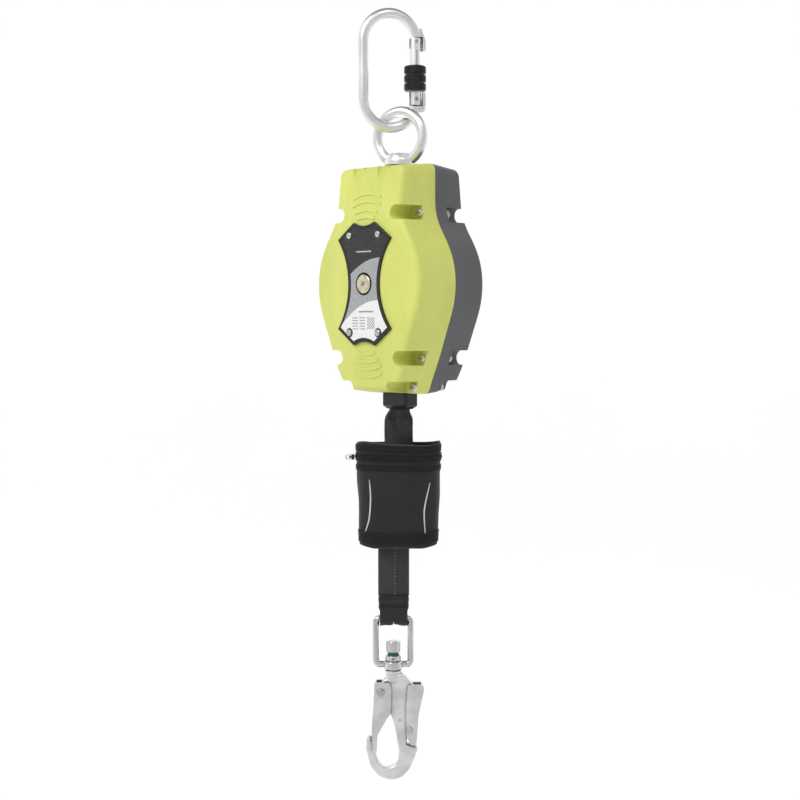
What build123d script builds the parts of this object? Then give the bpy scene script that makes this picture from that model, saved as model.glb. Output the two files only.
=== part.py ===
from build123d import *
from math import cos, pi, radians, sin
import os

os.makedirs("parts", exist_ok=True)

# A self retracting lifeline: carabiner, swivel eye, two-part housing with drum,
# webbing with an energy absorber pouch, and a double-action snap hook.
# Millimetres, +Z up. The origin is on the load line, where the anchor bears on
# the inner top of the carabiner. X is the housing's width and -Y its front.

# ---- clearances shared by several fits
GAP = 0.3
RUN_FIT = 0.08
SEAT = 0.15

# ---- carabiner, in its own plane (local X across, local Y through)
CAR_YAW = 61.0
CAR_SHIFT = -7.0
CAR_BACK = 1.0
ROD = 9.4
CAR_TOP = 6.8
CAR_BOTTOM = -92.0
SPINE_X = -25.7
NOSE_X = 22.5
ARC_R = (NOSE_X - SPINE_X) / 2
ARC_X = (NOSE_X + SPINE_X) / 2
SHOULDER_D = 13.6
SHOULDER_TOP = -73.0
LIP_OUT = 30.2
LIP_IN = 26.9
LIP_TOP = -61.0
NOSE_LOW = -25.0
NOSE_BLOCK_LOW = -13.0
NOSE_SLOPE = ((25.0, -5.0), (32.0, -5.0), (32.0, -22.2))
TENON_T = 4.4
TENON_X0 = 17.4
TENON_TOP = -62.8
TENON_R = 5.2

# ---- carabiner gate, sleeve and pins
GATE_X = 21.0
GATE_D = 10.4
GATE_TOP = -13.6
GATE_LOW = -72.4
GATE_SLOT_W = TENON_T + 2 * GAP
GATE_SLOT_TOP = -60.6
GATE_NOTCH_LOW = -23.0
GATE_SWING = 21
HEEL_KEEP = -75.5
PIVOT_Z = -66.8
PIVOT_D = 3.4
LATCH_Z = -17.0
LATCH_D = 3.0
HOOK_T = 4.2
SLEEVE_D = 18.7
SLEEVE_LOW = -59.8
SLEEVE_TOP = -37.9
SLEEVE_GROOVES = (-45.4, -52.6)
SLEEVE_GROOVE_W = 1.6
SLEEVE_GROOVE_DEPTH = 0.9

# ---- swivel eye
EYE_YAW = 17.0
EYE_Z = -100.5
EYE_R = 22.1
EYE_ROD = 9.6
COLLAR_TOP = -114.8
COLLAR_LOW = -124.9
COLLAR_R = 13.4
COLLAR_TOP_R = 8.6
STEM_R = 6.0
STEM_LOW = -151.0
WASHER_T = 2.0
WASHER_R = 12.5
NUT_AF = 19.0
NUT_T = 9.0

# ---- housing
TOP_Z = -125.6
LOW_Z = -323.9
SEAM_HALF = 0.1
NECK_W = 41.3
DRUM_Z = -229.0
SIDE_POINTS = (
    (42.6, -125.6),
    (42.6, -150.0),
    (43.2, -165.0),
    (46.6, -176.5),
    (55.5, -191.5),
    (63.4, -208.1),
    (66.7, -228.5),
    (63.9, -249.3),
    (57.8, -266.0),
    (49.6, -287.9),
    (39.6, -311.0),
    (34.8, -323.9),
)
DRAFT = 4.2
HALF_DEPTH = 43.5
REAR_DEPTH = 43.0
CROWN_R = 700.0
COVER_WALL = 2.8
CORNER_R = 7.0
EDGE_R = 5.0
POCKETS = (
    (-169.0, 28.0, 12.6, 39.0),
    (-292.4, 31.0, 12.6, 42.0),
    (-317.6, 20.5, 10.4, 32.0),
)
POCKET_FLOOR = 15.0
POCKET_WALL = 2.4
COVER_SCREW_D = 4.0
COVER_HEAD_D = 7.2
COVER_HEAD_T = 3.0
SCREW_INSET = 7.0
SOCKET_AF = 3.0
DIMPLE_X = 15.0
DIMPLE_R = 5.6
DIMPLE_Y = -32.8
DIMPLE_LEAN = 38.0
RIDGE_H = 0.7
RIDGE_W = 2.6
TOP_RIDGES = ((34.0, -150.5), (34.0, -157.0), (27.0, -164.5), (21.0, -170.5))
LOW_RIDGES = ((20.0, -290.5), (28.0, -297.0), (34.0, -303.5), (34.0, -310.0))
RIDGE_BOW = 44.0
NECK_HOLE_R = 8.4
OUTLET_W = 31.0
OUTLET_D = 17.0

# ---- label on the front
LABEL_FACE = 44.3
LABEL_SEAT = 41.6
LABEL_END_W = 32.0
LABEL_WAIST_W = 19.0
LABEL_SHOULDER = 38.5
LABEL_PEAK_X = 12.5
LABEL_PEAK = 52.5
LABEL_DIP = 49.5
LABEL_RIM = 3.2
LABEL_T = 1.0
LABEL_SCREW_X = 17.6
LABEL_SCREW_Z = 41.8
LABEL_SCREW_D = 5.6
LABEL_HOLE_R = 9.3
AXLE_END_R = 8.2

# ---- load bracket and drum
BRACKET_T = 4.0
BRACKET_Y = 16.8
BRACKET_W = 40.0
BRACKET_TOP = -131.0
BRACKET_LOW = -252.0
AXLE_R = 8.0
AXLE_HALF = 34.5
AXLE_REAR = 37.2
HUB_R = 22.0
FLANGE_R = 58.0
FLANGE_T = 1.5
COIL_R = 50.0
WEB_W = 25.0
WEB_T = 1.8
SPRING_CASE_R = 47.0
SPRING_CASE_Y0 = 22.0
SPRING_CASE_Y1 = 35.0
SPRING_CASE_WALL = 1.6
ARBOR_R = 13.0
RATCHET_R = 43.0
RATCHET_IN_R = 34.0
RATCHET_T = 5.0
RATCHET_Y = -31.0
RATCHET_TEETH = 12
PAWL_PIVOT_R = 21.0
PAWL_T = 4.0

# ---- webbing outlet
NOZZLE_LOW = -337.6
NOZZLE_W = 29.6
NOZZLE_D = 15.5
NOZZLE_SLOT_W = 27.0
NOZZLE_SLOT_D = 4.6
ROLLER_R = 3.5
ROLLER_Z = -316.0

# ---- soft line below the housing, facing 45 degrees from the housing
LINE_YAW = 45.0
LINE_X = -5.6
HIDDEN_TOP = -283.0
POUCH_TOP = -366.5
POUCH_LOW = -459.0
POUCH_W = 75.0
POUCH_LOW_W = 68.5
POUCH_D = 34.0
POUCH_X = -1.4
PACK_W = 56.0
PACK_D = 22.0
PACK_H = 62.0
ZIP_Z = (-379.5, -388.5)
ZIP_W = 3.2
ZIP_TAPE_T = 1.2
PULL_R = 2.0
PULL_WIRE = 1.0
SLEEVE2_W = 27.6
SLEEVE2_D = 7.0
SLEEVE2_LOW = -502.0
BAND_LOW = -514.5
LOOP_W = 25.0
LOOP_T = 3.0
LOOP_NARROW = 22.4

# ---- hook swivel
HOOK_X = -6.0
STIRRUP_HALF_W = 18.2
STIRRUP_ROD = 5.8
STIRRUP_BEND = 3.2
STIRRUP_TOP = -522.6
STIRRUP_LOW = -566.0
STIRRUP_HUB_R = 8.4
BOLT_HEAD_R = 6.6
BOLT_HEAD_TOP = -542.3
BOLT_HEAD_T = 9.6
BOLT_R = 4.2
RING_T = 3.4
RING_R = 5.0
SWIVEL_WASHER_R = 7.2
SWIVEL_WASHER_T = 4.6
NECK_R = 7.3

# ---- snap hook, offsets from the swivel axis
HOOK_TOP = -568.4
HOOK_T_MAIN = 11.0
HOOK_BEND = 2.2
HOOK_EDGE = 1.4
HOOK_OUTER = (
    (-8.3, -576.4),
    (-13.4, -584.0),
    (-12.6, -590.0),
    (-9.5, -594.0),
    (-3.0, -604.5),
    (0.6, -614.5),
    (2.6, -624.0),
    (5.0, -639.6),
    (4.6, -646.7),
    (2.8, -651.6),
    (-4.6, -655.4),
    (-12.2, -651.0),
    (-15.4, -642.3),
    (-16.6, -636.0),
    (-19.6, -627.6),
    (-23.4, -627.4),
    (-24.3, -637.9),
    (-22.5, -644.9),
    (-19.9, -653.7),
    (-12.9, -662.5),
    (-2.0, -666.0),
    (7.7, -663.3),
    (14.3, -656.3),
    (19.1, -645.8),
    (22.3, -636.6),
    (11.6, -633.6),
    (12.6, -622.0),
    (13.0, -612.0),
    (15.0, -596.0),
    (18.6, -582.0),
    (12.0, -574.0),
    (7.4, -570.6),
)
HOOK_BOWL = (
    (4.6, -646.7),
    (2.8, -651.6),
    (-4.6, -655.4),
    (-12.2, -651.0),
    (-15.4, -642.3),
)
HOOK_BOWL_R = 7.4
HOOK_BACK = (
    (-19.9, -653.7),
    (-12.9, -662.5),
    (-2.0, -666.0),
    (7.7, -663.3),
    (14.3, -656.3),
)
HOOK_BACK_R = 14.0
NOSE_TOP = -627.4
HOOK_GATE_PIVOT = (-11.1, -587.0)
HOOK_RIVET_D = 5.4
GATE_PLATE = (
    (-16.4, -578.4),
    (-3.2, -578.4),
    (-1.6, -584.0),
    (-2.2, -606.0),
    (-5.4, -610.2),
    (-13.8, -625.0),
    (-14.4, -640.0),
    (-18.2, -641.0),
    (-19.0, -620.0),
    (-17.6, -600.0),
)
GATE_OUT_W = 15.4
GATE_WALL = 1.7
LEVER_PIVOT = (14.3, -620.4)
LEVER_RIVET_D = 4.8
LEVER_PLATE = (
    (13.0, -580.4),
    (26.2, -580.4),
    (27.2, -585.0),
    (22.6, -606.0),
    (21.2, -624.0),
    (20.4, -634.0),
    (15.8, -634.2),
    (11.6, -626.0),
    (11.4, -600.0),
)
LEVER_OUT_W = 15.4
SIDE_PIN = (5.7, -612.0)
SIDE_PIN_D = 2.6


def at(x, y, z, shape):
    """The shape moved by x, y, z."""
    return Pos(x, y, z) * shape


def face_slab(sketch, y_low, y_high):
    """A sketch in the X-Z plane, made solid from y_low to y_high."""
    return Pos(0, y_high, 0) * extrude(Plane.XZ * sketch, amount=y_high - y_low)


def y_rod(x, z, radius, y_low, y_high):
    """A round bar along Y."""
    bar = Rot(90, 0, 0) * Cylinder(radius, y_high - y_low)
    return Pos(x, (y_low + y_high) / 2, z) * bar


def z_rod(x, y, radius, z_low, z_high):
    """A round bar along Z."""
    return Pos(x, y, (z_low + z_high) / 2) * Cylinder(radius, z_high - z_low)


def block(x0, x1, y0, y1, z0, z1):
    """A box between two corners."""
    box = Box(x1 - x0, y1 - y0, z1 - z0)
    return Pos((x0 + x1) / 2, (y0 + y1) / 2, (z0 + z1) / 2) * box


def soften(solid, edges, radius):
    """Fillet the edges, at a smaller radius when the full one does not fit."""
    for size in (radius, radius * 0.7, radius * 0.4):
        try:
            return fillet(edges, size)
        except Exception:
            pass
    return solid


def in_carabiner(shape):
    """From the carabiner's own plane to the row frame."""
    c = cos(radians(LINE_YAW))
    x = (CAR_SHIFT - CAR_BACK) * c
    y = (CAR_SHIFT + CAR_BACK) * c
    return Pos(x, y, 0) * Rot(0, 0, CAR_YAW) * shape


def in_line(shape, x=0.0):
    """From the line's own frame, which faces 45 degrees, to the row frame."""
    return Rot(0, 0, LINE_YAW) * Pos(x, 0, 0) * shape


def save(name, shape):
    """Write one node."""
    shape.label = name
    export_step(shape, "parts/" + name + ".step")


# ------------------------------------------------------------------ carabiner


def carabiner_rod():
    top = CAR_TOP - ARC_R
    low = CAR_BOTTOM + ARC_R
    over = CenterArc((ARC_X, top), ARC_R, 0, 180)
    spine = Line((SPINE_X, top), (SPINE_X, low))
    under = CenterArc((ARC_X, low), ARC_R, 180, 180)
    path = Plane.XZ * Wire([*over.edges(), *spine.edges(), *under.edges()])
    start = Plane((NOSE_X, 0, top), z_dir=(0, 0, 1))
    rod = sweep(start * Circle(ROD / 2), path=path)
    return rod


def carabiner_body():
    rod = carabiner_rod()
    mid = (GATE_X - GATE_D / 2 + LIP_OUT) / 2
    half = (LIP_OUT - (GATE_X - GATE_D / 2)) / 2
    heel_low = SHOULDER_TOP - 5
    heel = block(mid - half, mid + half, -ROD / 2, ROD / 2, heel_low, SHOULDER_TOP)
    heel = soften(heel, heel.edges().filter_by(Axis.Z), 3.0)
    heel = soften(heel, heel.edges().group_by(Axis.Z)[0], 2.5)
    lip = block(LIP_IN, LIP_OUT, -ROD / 2 + 0.6, ROD / 2 - 0.6, SHOULDER_TOP, LIP_TOP)
    lip = soften(lip, lip.edges().group_by(Axis.X)[-1], 1.4)
    tenon = block(TENON_X0, LIP_IN, -TENON_T / 2, TENON_T / 2, SHOULDER_TOP, PIVOT_Z)
    knuckle = y_rod(GATE_X, PIVOT_Z, 3.6, -TENON_T / 2, TENON_T / 2)
    nose = block(LIP_IN - 5, LIP_OUT, -ROD / 2, ROD / 2, NOSE_BLOCK_LOW, -6.0)
    nose = soften(nose, nose.edges().filter_by(Axis.Z), 2.6)
    hook_lip = block(LIP_IN, LIP_OUT, -ROD / 2 + 0.6, ROD / 2 - 0.6, NOSE_LOW, -6.0)
    hook_lip = soften(hook_lip, hook_lip.edges().group_by(Axis.X)[-1], 1.4)
    slope = Polyline(*NOSE_SLOPE, close=True)
    slope = face_slab(make_face(slope), -ROD, ROD)
    nose = nose - slope
    hook_lip = hook_lip - slope
    blade = block(GATE_X - 1.6, LIP_IN + 1, -HOOK_T / 2, HOOK_T / 2, -21.4, -10.0)
    body = rod + heel + lip + tenon + knuckle + nose + hook_lip + blade
    latch = y_rod(GATE_X, LATCH_Z, LATCH_D / 2 + GAP, -ROD, ROD)
    mouth_x = GATE_X - LATCH_D
    mouth_z = LATCH_Z - LATCH_D / 2 - GAP
    mouth = block(mouth_x - 6, GATE_X, -ROD, ROD, mouth_z, LATCH_Z + LATCH_D / 2 + GAP)
    hole = y_rod(GATE_X, PIVOT_Z, PIVOT_D / 2 + RUN_FIT, -ROD, ROD)
    cavity_r = GATE_D / 2 + GAP
    gate_room = z_rod(GATE_X, 0, cavity_r, SHOULDER_TOP + 0.01, GATE_TOP + GAP)
    hinge = Axis((GATE_X, 0, PIVOT_Z), (0, 1, 0))
    foot = z_rod(GATE_X, 0, cavity_r, GATE_LOW - GAP, PIVOT_Z + 4)
    for turn in range(0, GATE_SWING + 1, 3):
        gate_room = gate_room + foot.rotate(hinge, -turn)
    keep = block(TENON_X0, LIP_IN + 2, -TENON_T / 2, TENON_T / 2, HEEL_KEEP, PIVOT_Z)
    keep = keep + knuckle
    body = body - (gate_room - keep - blade) - latch - mouth - hole
    return body


def gate_pivot_pin():
    half = GATE_D / 2 - 0.1
    return y_rod(GATE_X, PIVOT_Z, PIVOT_D / 2, -half, half)


def carabiner_gate():
    tube = z_rod(GATE_X, 0, GATE_D / 2, GATE_LOW, GATE_TOP)
    tube = soften(tube, tube.edges().filter_by(GeomType.CIRCLE), 0.8)
    w = GATE_SLOT_W / 2
    far = GATE_D
    low_slot = block(GATE_X - far, GATE_X + far, -w, w, GATE_LOW - 1, GATE_SLOT_TOP)
    top_slot = block(GATE_X - far, GATE_X + far, -w, w, GATE_NOTCH_LOW, GATE_TOP + 1)
    groove = block(GATE_X - 0.5, GATE_X + 0.5, -far, -GATE_D / 2 + 0.5, -59.0, -25.0)
    pin = y_rod(GATE_X, PIVOT_Z, PIVOT_D / 2 + RUN_FIT, -far, far)
    latch = y_rod(GATE_X, LATCH_Z, LATCH_D / 2, -far, far)
    return tube - low_slot - top_slot - groove - groove.mirror(Plane.XZ) - pin - latch


def latch_pin():
    half = GATE_D / 2 - 0.4
    return y_rod(GATE_X, LATCH_Z, LATCH_D / 2, -half, half)


def locking_sleeve():
    barrel = z_rod(GATE_X, 0, SLEEVE_D / 2, SLEEVE_LOW, SLEEVE_TOP)
    rims = barrel.edges().filter_by(GeomType.CIRCLE)
    barrel = soften(barrel, rims, 1.0)
    for z in SLEEVE_GROOVES:
        w = SLEEVE_GROOVE_W / 2
        outer = z_rod(GATE_X, 0, SLEEVE_D / 2 + 1, z - w, z + w)
        inner = z_rod(GATE_X, 0, SLEEVE_D / 2 - SLEEVE_GROOVE_DEPTH, z - w, z + w)
        barrel = barrel - (outer - inner)
    bore = z_rod(GATE_X, 0, GATE_D / 2 + RUN_FIT, SLEEVE_LOW - 1, SLEEVE_TOP + 1)
    return barrel - bore


# ----------------------------------------------------------------- swivel eye


def swivel_eye():
    ring = Pos(0, 0, EYE_Z) * Rot(0, 0, EYE_YAW) * Rot(90, 0, 0) * Torus(EYE_R, EYE_ROD / 2)
    h = COLLAR_TOP - COLLAR_LOW
    bottom = Line((0, COLLAR_LOW), (COLLAR_R, COLLAR_LOW))
    side = Line((COLLAR_R, COLLAR_LOW), (COLLAR_R, COLLAR_LOW + h * 0.3))
    dome = Spline(
        (COLLAR_R, COLLAR_LOW + h * 0.3),
        (COLLAR_R - 1.2, COLLAR_LOW + h * 0.65),
        (COLLAR_TOP_R, COLLAR_TOP),
        tangents=((0, 1), (-1, 0.3)),
    )
    lid = Line((COLLAR_TOP_R, COLLAR_TOP), (0, COLLAR_TOP))
    axis = Line((0, COLLAR_TOP), (0, COLLAR_LOW))
    collar = revolve(Plane.XZ * make_face(bottom + side + dome + lid + axis), Axis.Z)
    stem = z_rod(0, 0, STEM_R, STEM_LOW, COLLAR_LOW + 1)
    shape = ring + collar + stem
    below = z_rod(0, 0, 40, COLLAR_LOW - 8, COLLAR_LOW) - z_rod(0, 0, STEM_R, -200, 0)
    return shape - below


def bracket_top_under():
    return BRACKET_TOP - BRACKET_T


def thrust_washer():
    z1 = bracket_top_under() - GAP
    disc = z_rod(0, 0, WASHER_R, z1 - WASHER_T, z1)
    return disc - z_rod(0, 0, STEM_R + SEAT, z1 - 10, z1 + 1)


def eye_nut():
    z1 = bracket_top_under() - GAP - WASHER_T
    hexagon = extrude(RegularPolygon(NUT_AF / 2, 6, major_radius=False), NUT_T)
    nut = Pos(0, 0, z1 - NUT_T) * hexagon
    return nut - z_rod(0, 0, STEM_R, z1 - NUT_T - 1, z1 + 1)


# -------------------------------------------------------------------- housing


def outline(inset, drop=0.0):
    """The housing's outline in the X-Z plane, drawn in by inset on every side."""
    right = [(x - inset, z) for x, z in SIDE_POINTS]
    right[0] = (right[0][0], TOP_Z - inset)
    right[-1] = (right[-1][0], LOW_Z + inset)
    left = [(-x, z) for x, z in reversed(right)]
    top = Line(left[-1], right[0])
    low = Line(right[-1], left[0])
    side_r = Spline(*right, tangents=((0, -1), (-0.3, -1)))
    side_l = Spline(*left, tangents=((-0.3, 1), (0, 1)))
    return make_face(top + side_r + low + side_l)


def shell_solid(inset, depth, sign):
    """One half of the housing as a solid, with draft and a crowned face."""
    seam = outline(inset)
    seam = fillet(seam.vertices(), max(CORNER_R - inset, 2.0))
    far = outline(inset + DRAFT)
    far = fillet(far.vertices(), max(CORNER_R - inset, 2.0))
    near_plane = Plane.XZ.offset(-sign * SEAM_HALF)
    far_plane = Plane.XZ.offset(-sign * (HALF_DEPTH + 2))
    body = loft([near_plane * seam, far_plane * far])
    ball = Pos(0, sign * (depth - CROWN_R), DRUM_Z) * Sphere(CROWN_R - inset)
    return body & ball


def pocket(z, x_in, height, side, sign, grow, floor):
    """A screw pocket's room, or its wall when grown."""
    r = height / 2 + grow
    out = 90.0
    y0 = sign * floor
    y1 = sign * 60.0
    lo = min(y0, y1)
    hi = max(y0, y1)
    x0 = side * (x_in + height / 2)
    x1 = side * out
    bar = block(min(x0, x1), max(x0, x1), lo, hi, z - r, z + r)
    return bar + y_rod(x0, z, r, lo, hi)


def cover(depth, sign):
    """One cover: a crowned shell with its screw pockets."""
    outer = shell_solid(0.0, depth, sign)
    picked = [e for e in outer.edges() if sign * e.center().Y > depth * 0.35]
    picked = [e for e in picked if e.bounding_box().min.Y * e.bounding_box().max.Y > 4]
    outer = soften(outer, picked, EDGE_R)
    inner = shell_solid(COVER_WALL, depth, sign)
    body = outer - inner
    for z, x_in, height, _ in POCKETS:
        for side in (-1, 1):
            wall = pocket(z, x_in, height, side, sign, POCKET_WALL, SEAM_HALF)
            body = body + (wall & outer)
    for z, x_in, height, screw_x in POCKETS:
        for side in (-1, 1):
            room = pocket(z, x_in, height, side, sign, 0.0, POCKET_FLOOR)
            body = body - room
            body = body - y_rod(side * screw_x, z, COVER_SCREW_D / 2 + SEAT, -60, 60)
    body = body - z_rod(0, 0, NECK_HOLE_R, TOP_Z - 20, TOP_Z + 20)
    w = OUTLET_W / 2
    d = OUTLET_D / 2
    return body - block(-w, w, -d, d, LOW_Z - 5, LOW_Z + 12)


def ridge(width, z, sign_z):
    """One raised arc on the front: a thin band, bowed up or down."""
    r = RIDGE_BOW
    centre = z - sign_z * r
    ring = Circle(r) - Circle(r - RIDGE_W)
    band = Pos(0, centre) * ring
    window = Pos(0, z - sign_z * 6) * Rectangle(width, 14)
    return face_slab(band & window, -60, -20)


def inside_edges(room):
    """A block that stays clear of the front cover's seam."""
    size = room.bounding_box()
    return block(size.min.X, size.max.X, size.min.Y, -6.0, TOP_Z - 22, TOP_Z - 0.2)


def front_cover():
    body = cover(HALF_DEPTH, -1)
    outer = Pos(0, CROWN_R - HALF_DEPTH, DRUM_Z) * Sphere(CROWN_R + RIDGE_H)
    inner = Pos(0, CROWN_R - HALF_DEPTH, DRUM_Z) * Sphere(CROWN_R - 1.0)
    skin = outer - inner
    for width, z in TOP_RIDGES:
        body = body + (ridge(width, z, 1) & skin)
    for width, z in LOW_RIDGES:
        body = body + (ridge(width, z, -1) & skin)
    room = shell_solid(0.0, HALF_DEPTH, -1)
    for side in (-1, 1):
        place = Pos(side * DIMPLE_X, DIMPLE_Y, TOP_Z) * Rot(-DIMPLE_LEAN, 0, 0)
        boss = place * Cylinder(DIMPLE_R + COVER_WALL - 0.4, 50)
        body = body + (boss & room & inside_edges(room))
        body = body - place * Cylinder(DIMPLE_R, 80)
    seat = face_slab(label_outline(-SEAT), -60, -LABEL_SEAT)
    body = body - seat
    return body - y_rod(0, DRUM_Z, LABEL_HOLE_R, -60, 0)


def rear_cover():
    return cover(REAR_DEPTH, 1)


def screw_spots():
    """Where the cover screws are."""
    spots = []
    for z, _, _, screw_x in POCKETS:
        for side in (-1, 1):
            spots.append((side * screw_x, z))
    return spots


def cover_screws():
    parts = []
    for x, z in screw_spots():
        head = y_rod(x, z, COVER_HEAD_D / 2, -POCKET_FLOOR - COVER_HEAD_T, -POCKET_FLOOR)
        head = soften(head, head.edges().group_by(Axis.Y)[0], 0.8)
        hexagon = RegularPolygon(SOCKET_AF / 2, 6, major_radius=False)
        socket = face_slab(Pos(x, z) * hexagon, -POCKET_FLOOR - 6, -POCKET_FLOOR - 1.2)
        shank = y_rod(x, z, COVER_SCREW_D / 2, -POCKET_FLOOR, POCKET_FLOOR + 3.4)
        parts.append(head - socket + shank)
    return Compound(children=parts)


def cover_nuts():
    parts = []
    for x, z in screw_spots():
        hexagon = RegularPolygon(3.5, 6, major_radius=False)
        nut = face_slab(Pos(x, z) * hexagon, POCKET_FLOOR, POCKET_FLOOR + 3.2)
        nut = nut - y_rod(x, z, COVER_SCREW_D / 2, 0, 30)
        parts.append(nut)
    return Compound(children=parts)


def label_outline(inset):
    """The label's waisted outline in the X-Z plane, drawn in by inset."""
    w = LABEL_END_W - inset
    s = LABEL_SHOULDER - inset * 0.4
    p = LABEL_PEAK - inset
    d = LABEL_DIP - inset
    px = LABEL_PEAK_X
    waist = LABEL_WAIST_W - inset
    z = DRUM_Z
    right = ThreePointArc((w, z + s), (waist, z), (w, z - s))
    low1 = Line((w, z - s), (px, z - p))
    low2 = ThreePointArc((px, z - p), (0, z - d), (-px, z - p))
    low3 = Line((-px, z - p), (-w, z - s))
    left = ThreePointArc((-w, z - s), (-waist, z), (-w, z + s))
    top1 = Line((-w, z + s), (-px, z + p))
    top2 = ThreePointArc((-px, z + p), (0, z + d), (px, z + p))
    top3 = Line((px, z + p), (w, z + s))
    return make_face(right + low1 + low2 + low3 + left + top1 + top2 + top3)


def label_spots():
    """Where the label's four screws are."""
    return [
        (sx * LABEL_SCREW_X, DRUM_Z + sz * LABEL_SCREW_Z) for sx in (-1, 1) for sz in (-1, 1)
    ]


def label_frame():
    body = face_slab(label_outline(0), -LABEL_FACE, -LABEL_SEAT)
    tray = face_slab(label_outline(LABEL_RIM), -60, -LABEL_FACE + LABEL_T + SEAT)
    body = body - tray - y_rod(0, DRUM_Z, LABEL_HOLE_R, -60, 0)
    for x, z in label_spots():
        body = body - y_rod(x, z, 1.3 + SEAT, -60, 0)
    return body


def label_plate():
    y1 = -LABEL_FACE + LABEL_T + SEAT
    plate = face_slab(label_outline(LABEL_RIM + SEAT), y1 - LABEL_T, y1)
    plate = plate - y_rod(0, DRUM_Z, LABEL_HOLE_R + 0.6, -60, 0)
    for x, z in label_spots():
        plate = plate - y_rod(x, z, 1.3 + SEAT, -60, 0)
    return plate


def label_screws():
    parts = []
    y1 = -LABEL_FACE + SEAT
    for x, z in label_spots():
        head = y_rod(x, z, LABEL_SCREW_D / 2, y1 - 1.4, y1)
        head = soften(head, head.edges().group_by(Axis.Y)[0], 0.9)
        hexagon = RegularPolygon(1.0, 6, major_radius=False)
        socket = face_slab(Pos(x, z) * hexagon, y1 - 3, y1 - 0.7)
        shank = y_rod(x, z, 1.3, y1, -LABEL_SEAT - 0.2)
        parts.append(head - socket + shank)
    return Compound(children=parts)


# --------------------------------------------------- bracket, axle and drum


def load_bracket():
    half = BRACKET_W / 2
    out = BRACKET_Y + BRACKET_T
    top = block(-half, half, -out, out, BRACKET_TOP - BRACKET_T, BRACKET_TOP)
    front = block(-half, half, -out, -BRACKET_Y, BRACKET_LOW, BRACKET_TOP)
    rear = block(-half, half, BRACKET_Y, out, BRACKET_LOW, BRACKET_TOP)
    body = top + front + rear
    body = soften(body, body.edges().filter_by(Axis.X).group_by(Axis.Z)[-1], 2.5)
    feet = body.edges().filter_by(Axis.Y).group_by(Axis.Z)[0]
    body = soften(body, feet, 12.0)
    body = body - z_rod(0, 0, STEM_R + RUN_FIT, BRACKET_TOP - 10, BRACKET_TOP + 10)
    for z in (-165.0, -190.0):
        body = body - y_rod(0, z, 7.0, -60, 60)
    return body - y_rod(0, DRUM_Z, AXLE_R + RUN_FIT, -60, 60)


def neck_bush():
    z1 = COLLAR_LOW - GAP
    flange = z_rod(0, 0, NECK_HOLE_R - SEAT, BRACKET_TOP, z1)
    return flange - z_rod(0, 0, STEM_R + RUN_FIT, BRACKET_TOP - 5, z1 + 5)


def drum_axle():
    bar = y_rod(0, DRUM_Z, AXLE_R, -AXLE_HALF, AXLE_REAR)
    bar = soften(bar, bar.edges().filter_by(GeomType.CIRCLE), 0.8)
    return bar - y_rod(0, DRUM_Z, 3.0, -AXLE_HALF - 1, -AXLE_HALF + 12)


def axle_end():
    y0 = -LABEL_FACE - 0.6
    disc = y_rod(0, DRUM_Z, AXLE_END_R, y0, -AXLE_HALF)
    disc = soften(disc, disc.edges().group_by(Axis.Y)[0], 1.0)
    hexagon = Pos(0, DRUM_Z) * RegularPolygon(2.0, 6, major_radius=False)
    socket = face_slab(hexagon, y0 - 1, y0 + 3)
    stud = y_rod(0, DRUM_Z, 3.0, -AXLE_HALF, -AXLE_HALF + 11)
    return disc - socket + stud


def drum_hub():
    y1 = WEB_W / 2 + GAP + FLANGE_T
    hub = y_rod(0, DRUM_Z, HUB_R, -y1, y1)
    hub = hub - y_rod(0, DRUM_Z, AXLE_R + 2.5, -40, 40)
    for k in range(6):
        a = 2 * pi * k / 6
        x = 15.8 * cos(a)
        z = DRUM_Z + 15.8 * sin(a)
        hub = hub - y_rod(x, z, 2.6, -40, 40)
    return hub


def drum_bush():
    y1 = WEB_W / 2 + GAP + FLANGE_T
    ring = y_rod(0, DRUM_Z, AXLE_R + 2.5, -y1, y1)
    return ring - y_rod(0, DRUM_Z, AXLE_R, -40, 40)


def drum_flange(sign):
    inner = WEB_W / 2 + GAP
    lo = min(sign * inner, sign * (inner + FLANGE_T))
    hi = max(sign * inner, sign * (inner + FLANGE_T))
    disc = y_rod(0, DRUM_Z, FLANGE_R, lo, hi)
    disc = disc - y_rod(0, DRUM_Z, HUB_R, -40, 40)
    for k in range(6):
        a = 2 * pi * (k + 0.5) / 6
        x = 40 * cos(a)
        z = DRUM_Z + 40 * sin(a)
        disc = disc - y_rod(x, z, 8.0, -40, 40)
    return disc


def webbing_coil():
    coil = y_rod(0, DRUM_Z, COIL_R, -WEB_W / 2, WEB_W / 2)
    return coil - y_rod(0, DRUM_Z, HUB_R, -40, 40)


def ratchet_ring():
    ring = y_rod(0, DRUM_Z, RATCHET_R, RATCHET_Y, RATCHET_Y + RATCHET_T)
    ring = ring - y_rod(0, DRUM_Z, RATCHET_IN_R, -60, 60)
    for k in range(RATCHET_TEETH):
        a = 360.0 * k / RATCHET_TEETH
        notch = Rot(0, a, 0) * Pos(RATCHET_IN_R, 0, 0) * Box(7, 40, 6.5)
        ring = ring - Pos(0, RATCHET_Y, DRUM_Z) * notch
    foot_y = -BRACKET_Y - BRACKET_T
    for a in (60, 120, 240, 300):
        x = (RATCHET_R - 2.5) * cos(radians(a))
        z = DRUM_Z + (RATCHET_R - 2.5) * sin(radians(a))
        ring = ring - y_rod(x, z, 1.3, -60, 60)
    return ring


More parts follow.
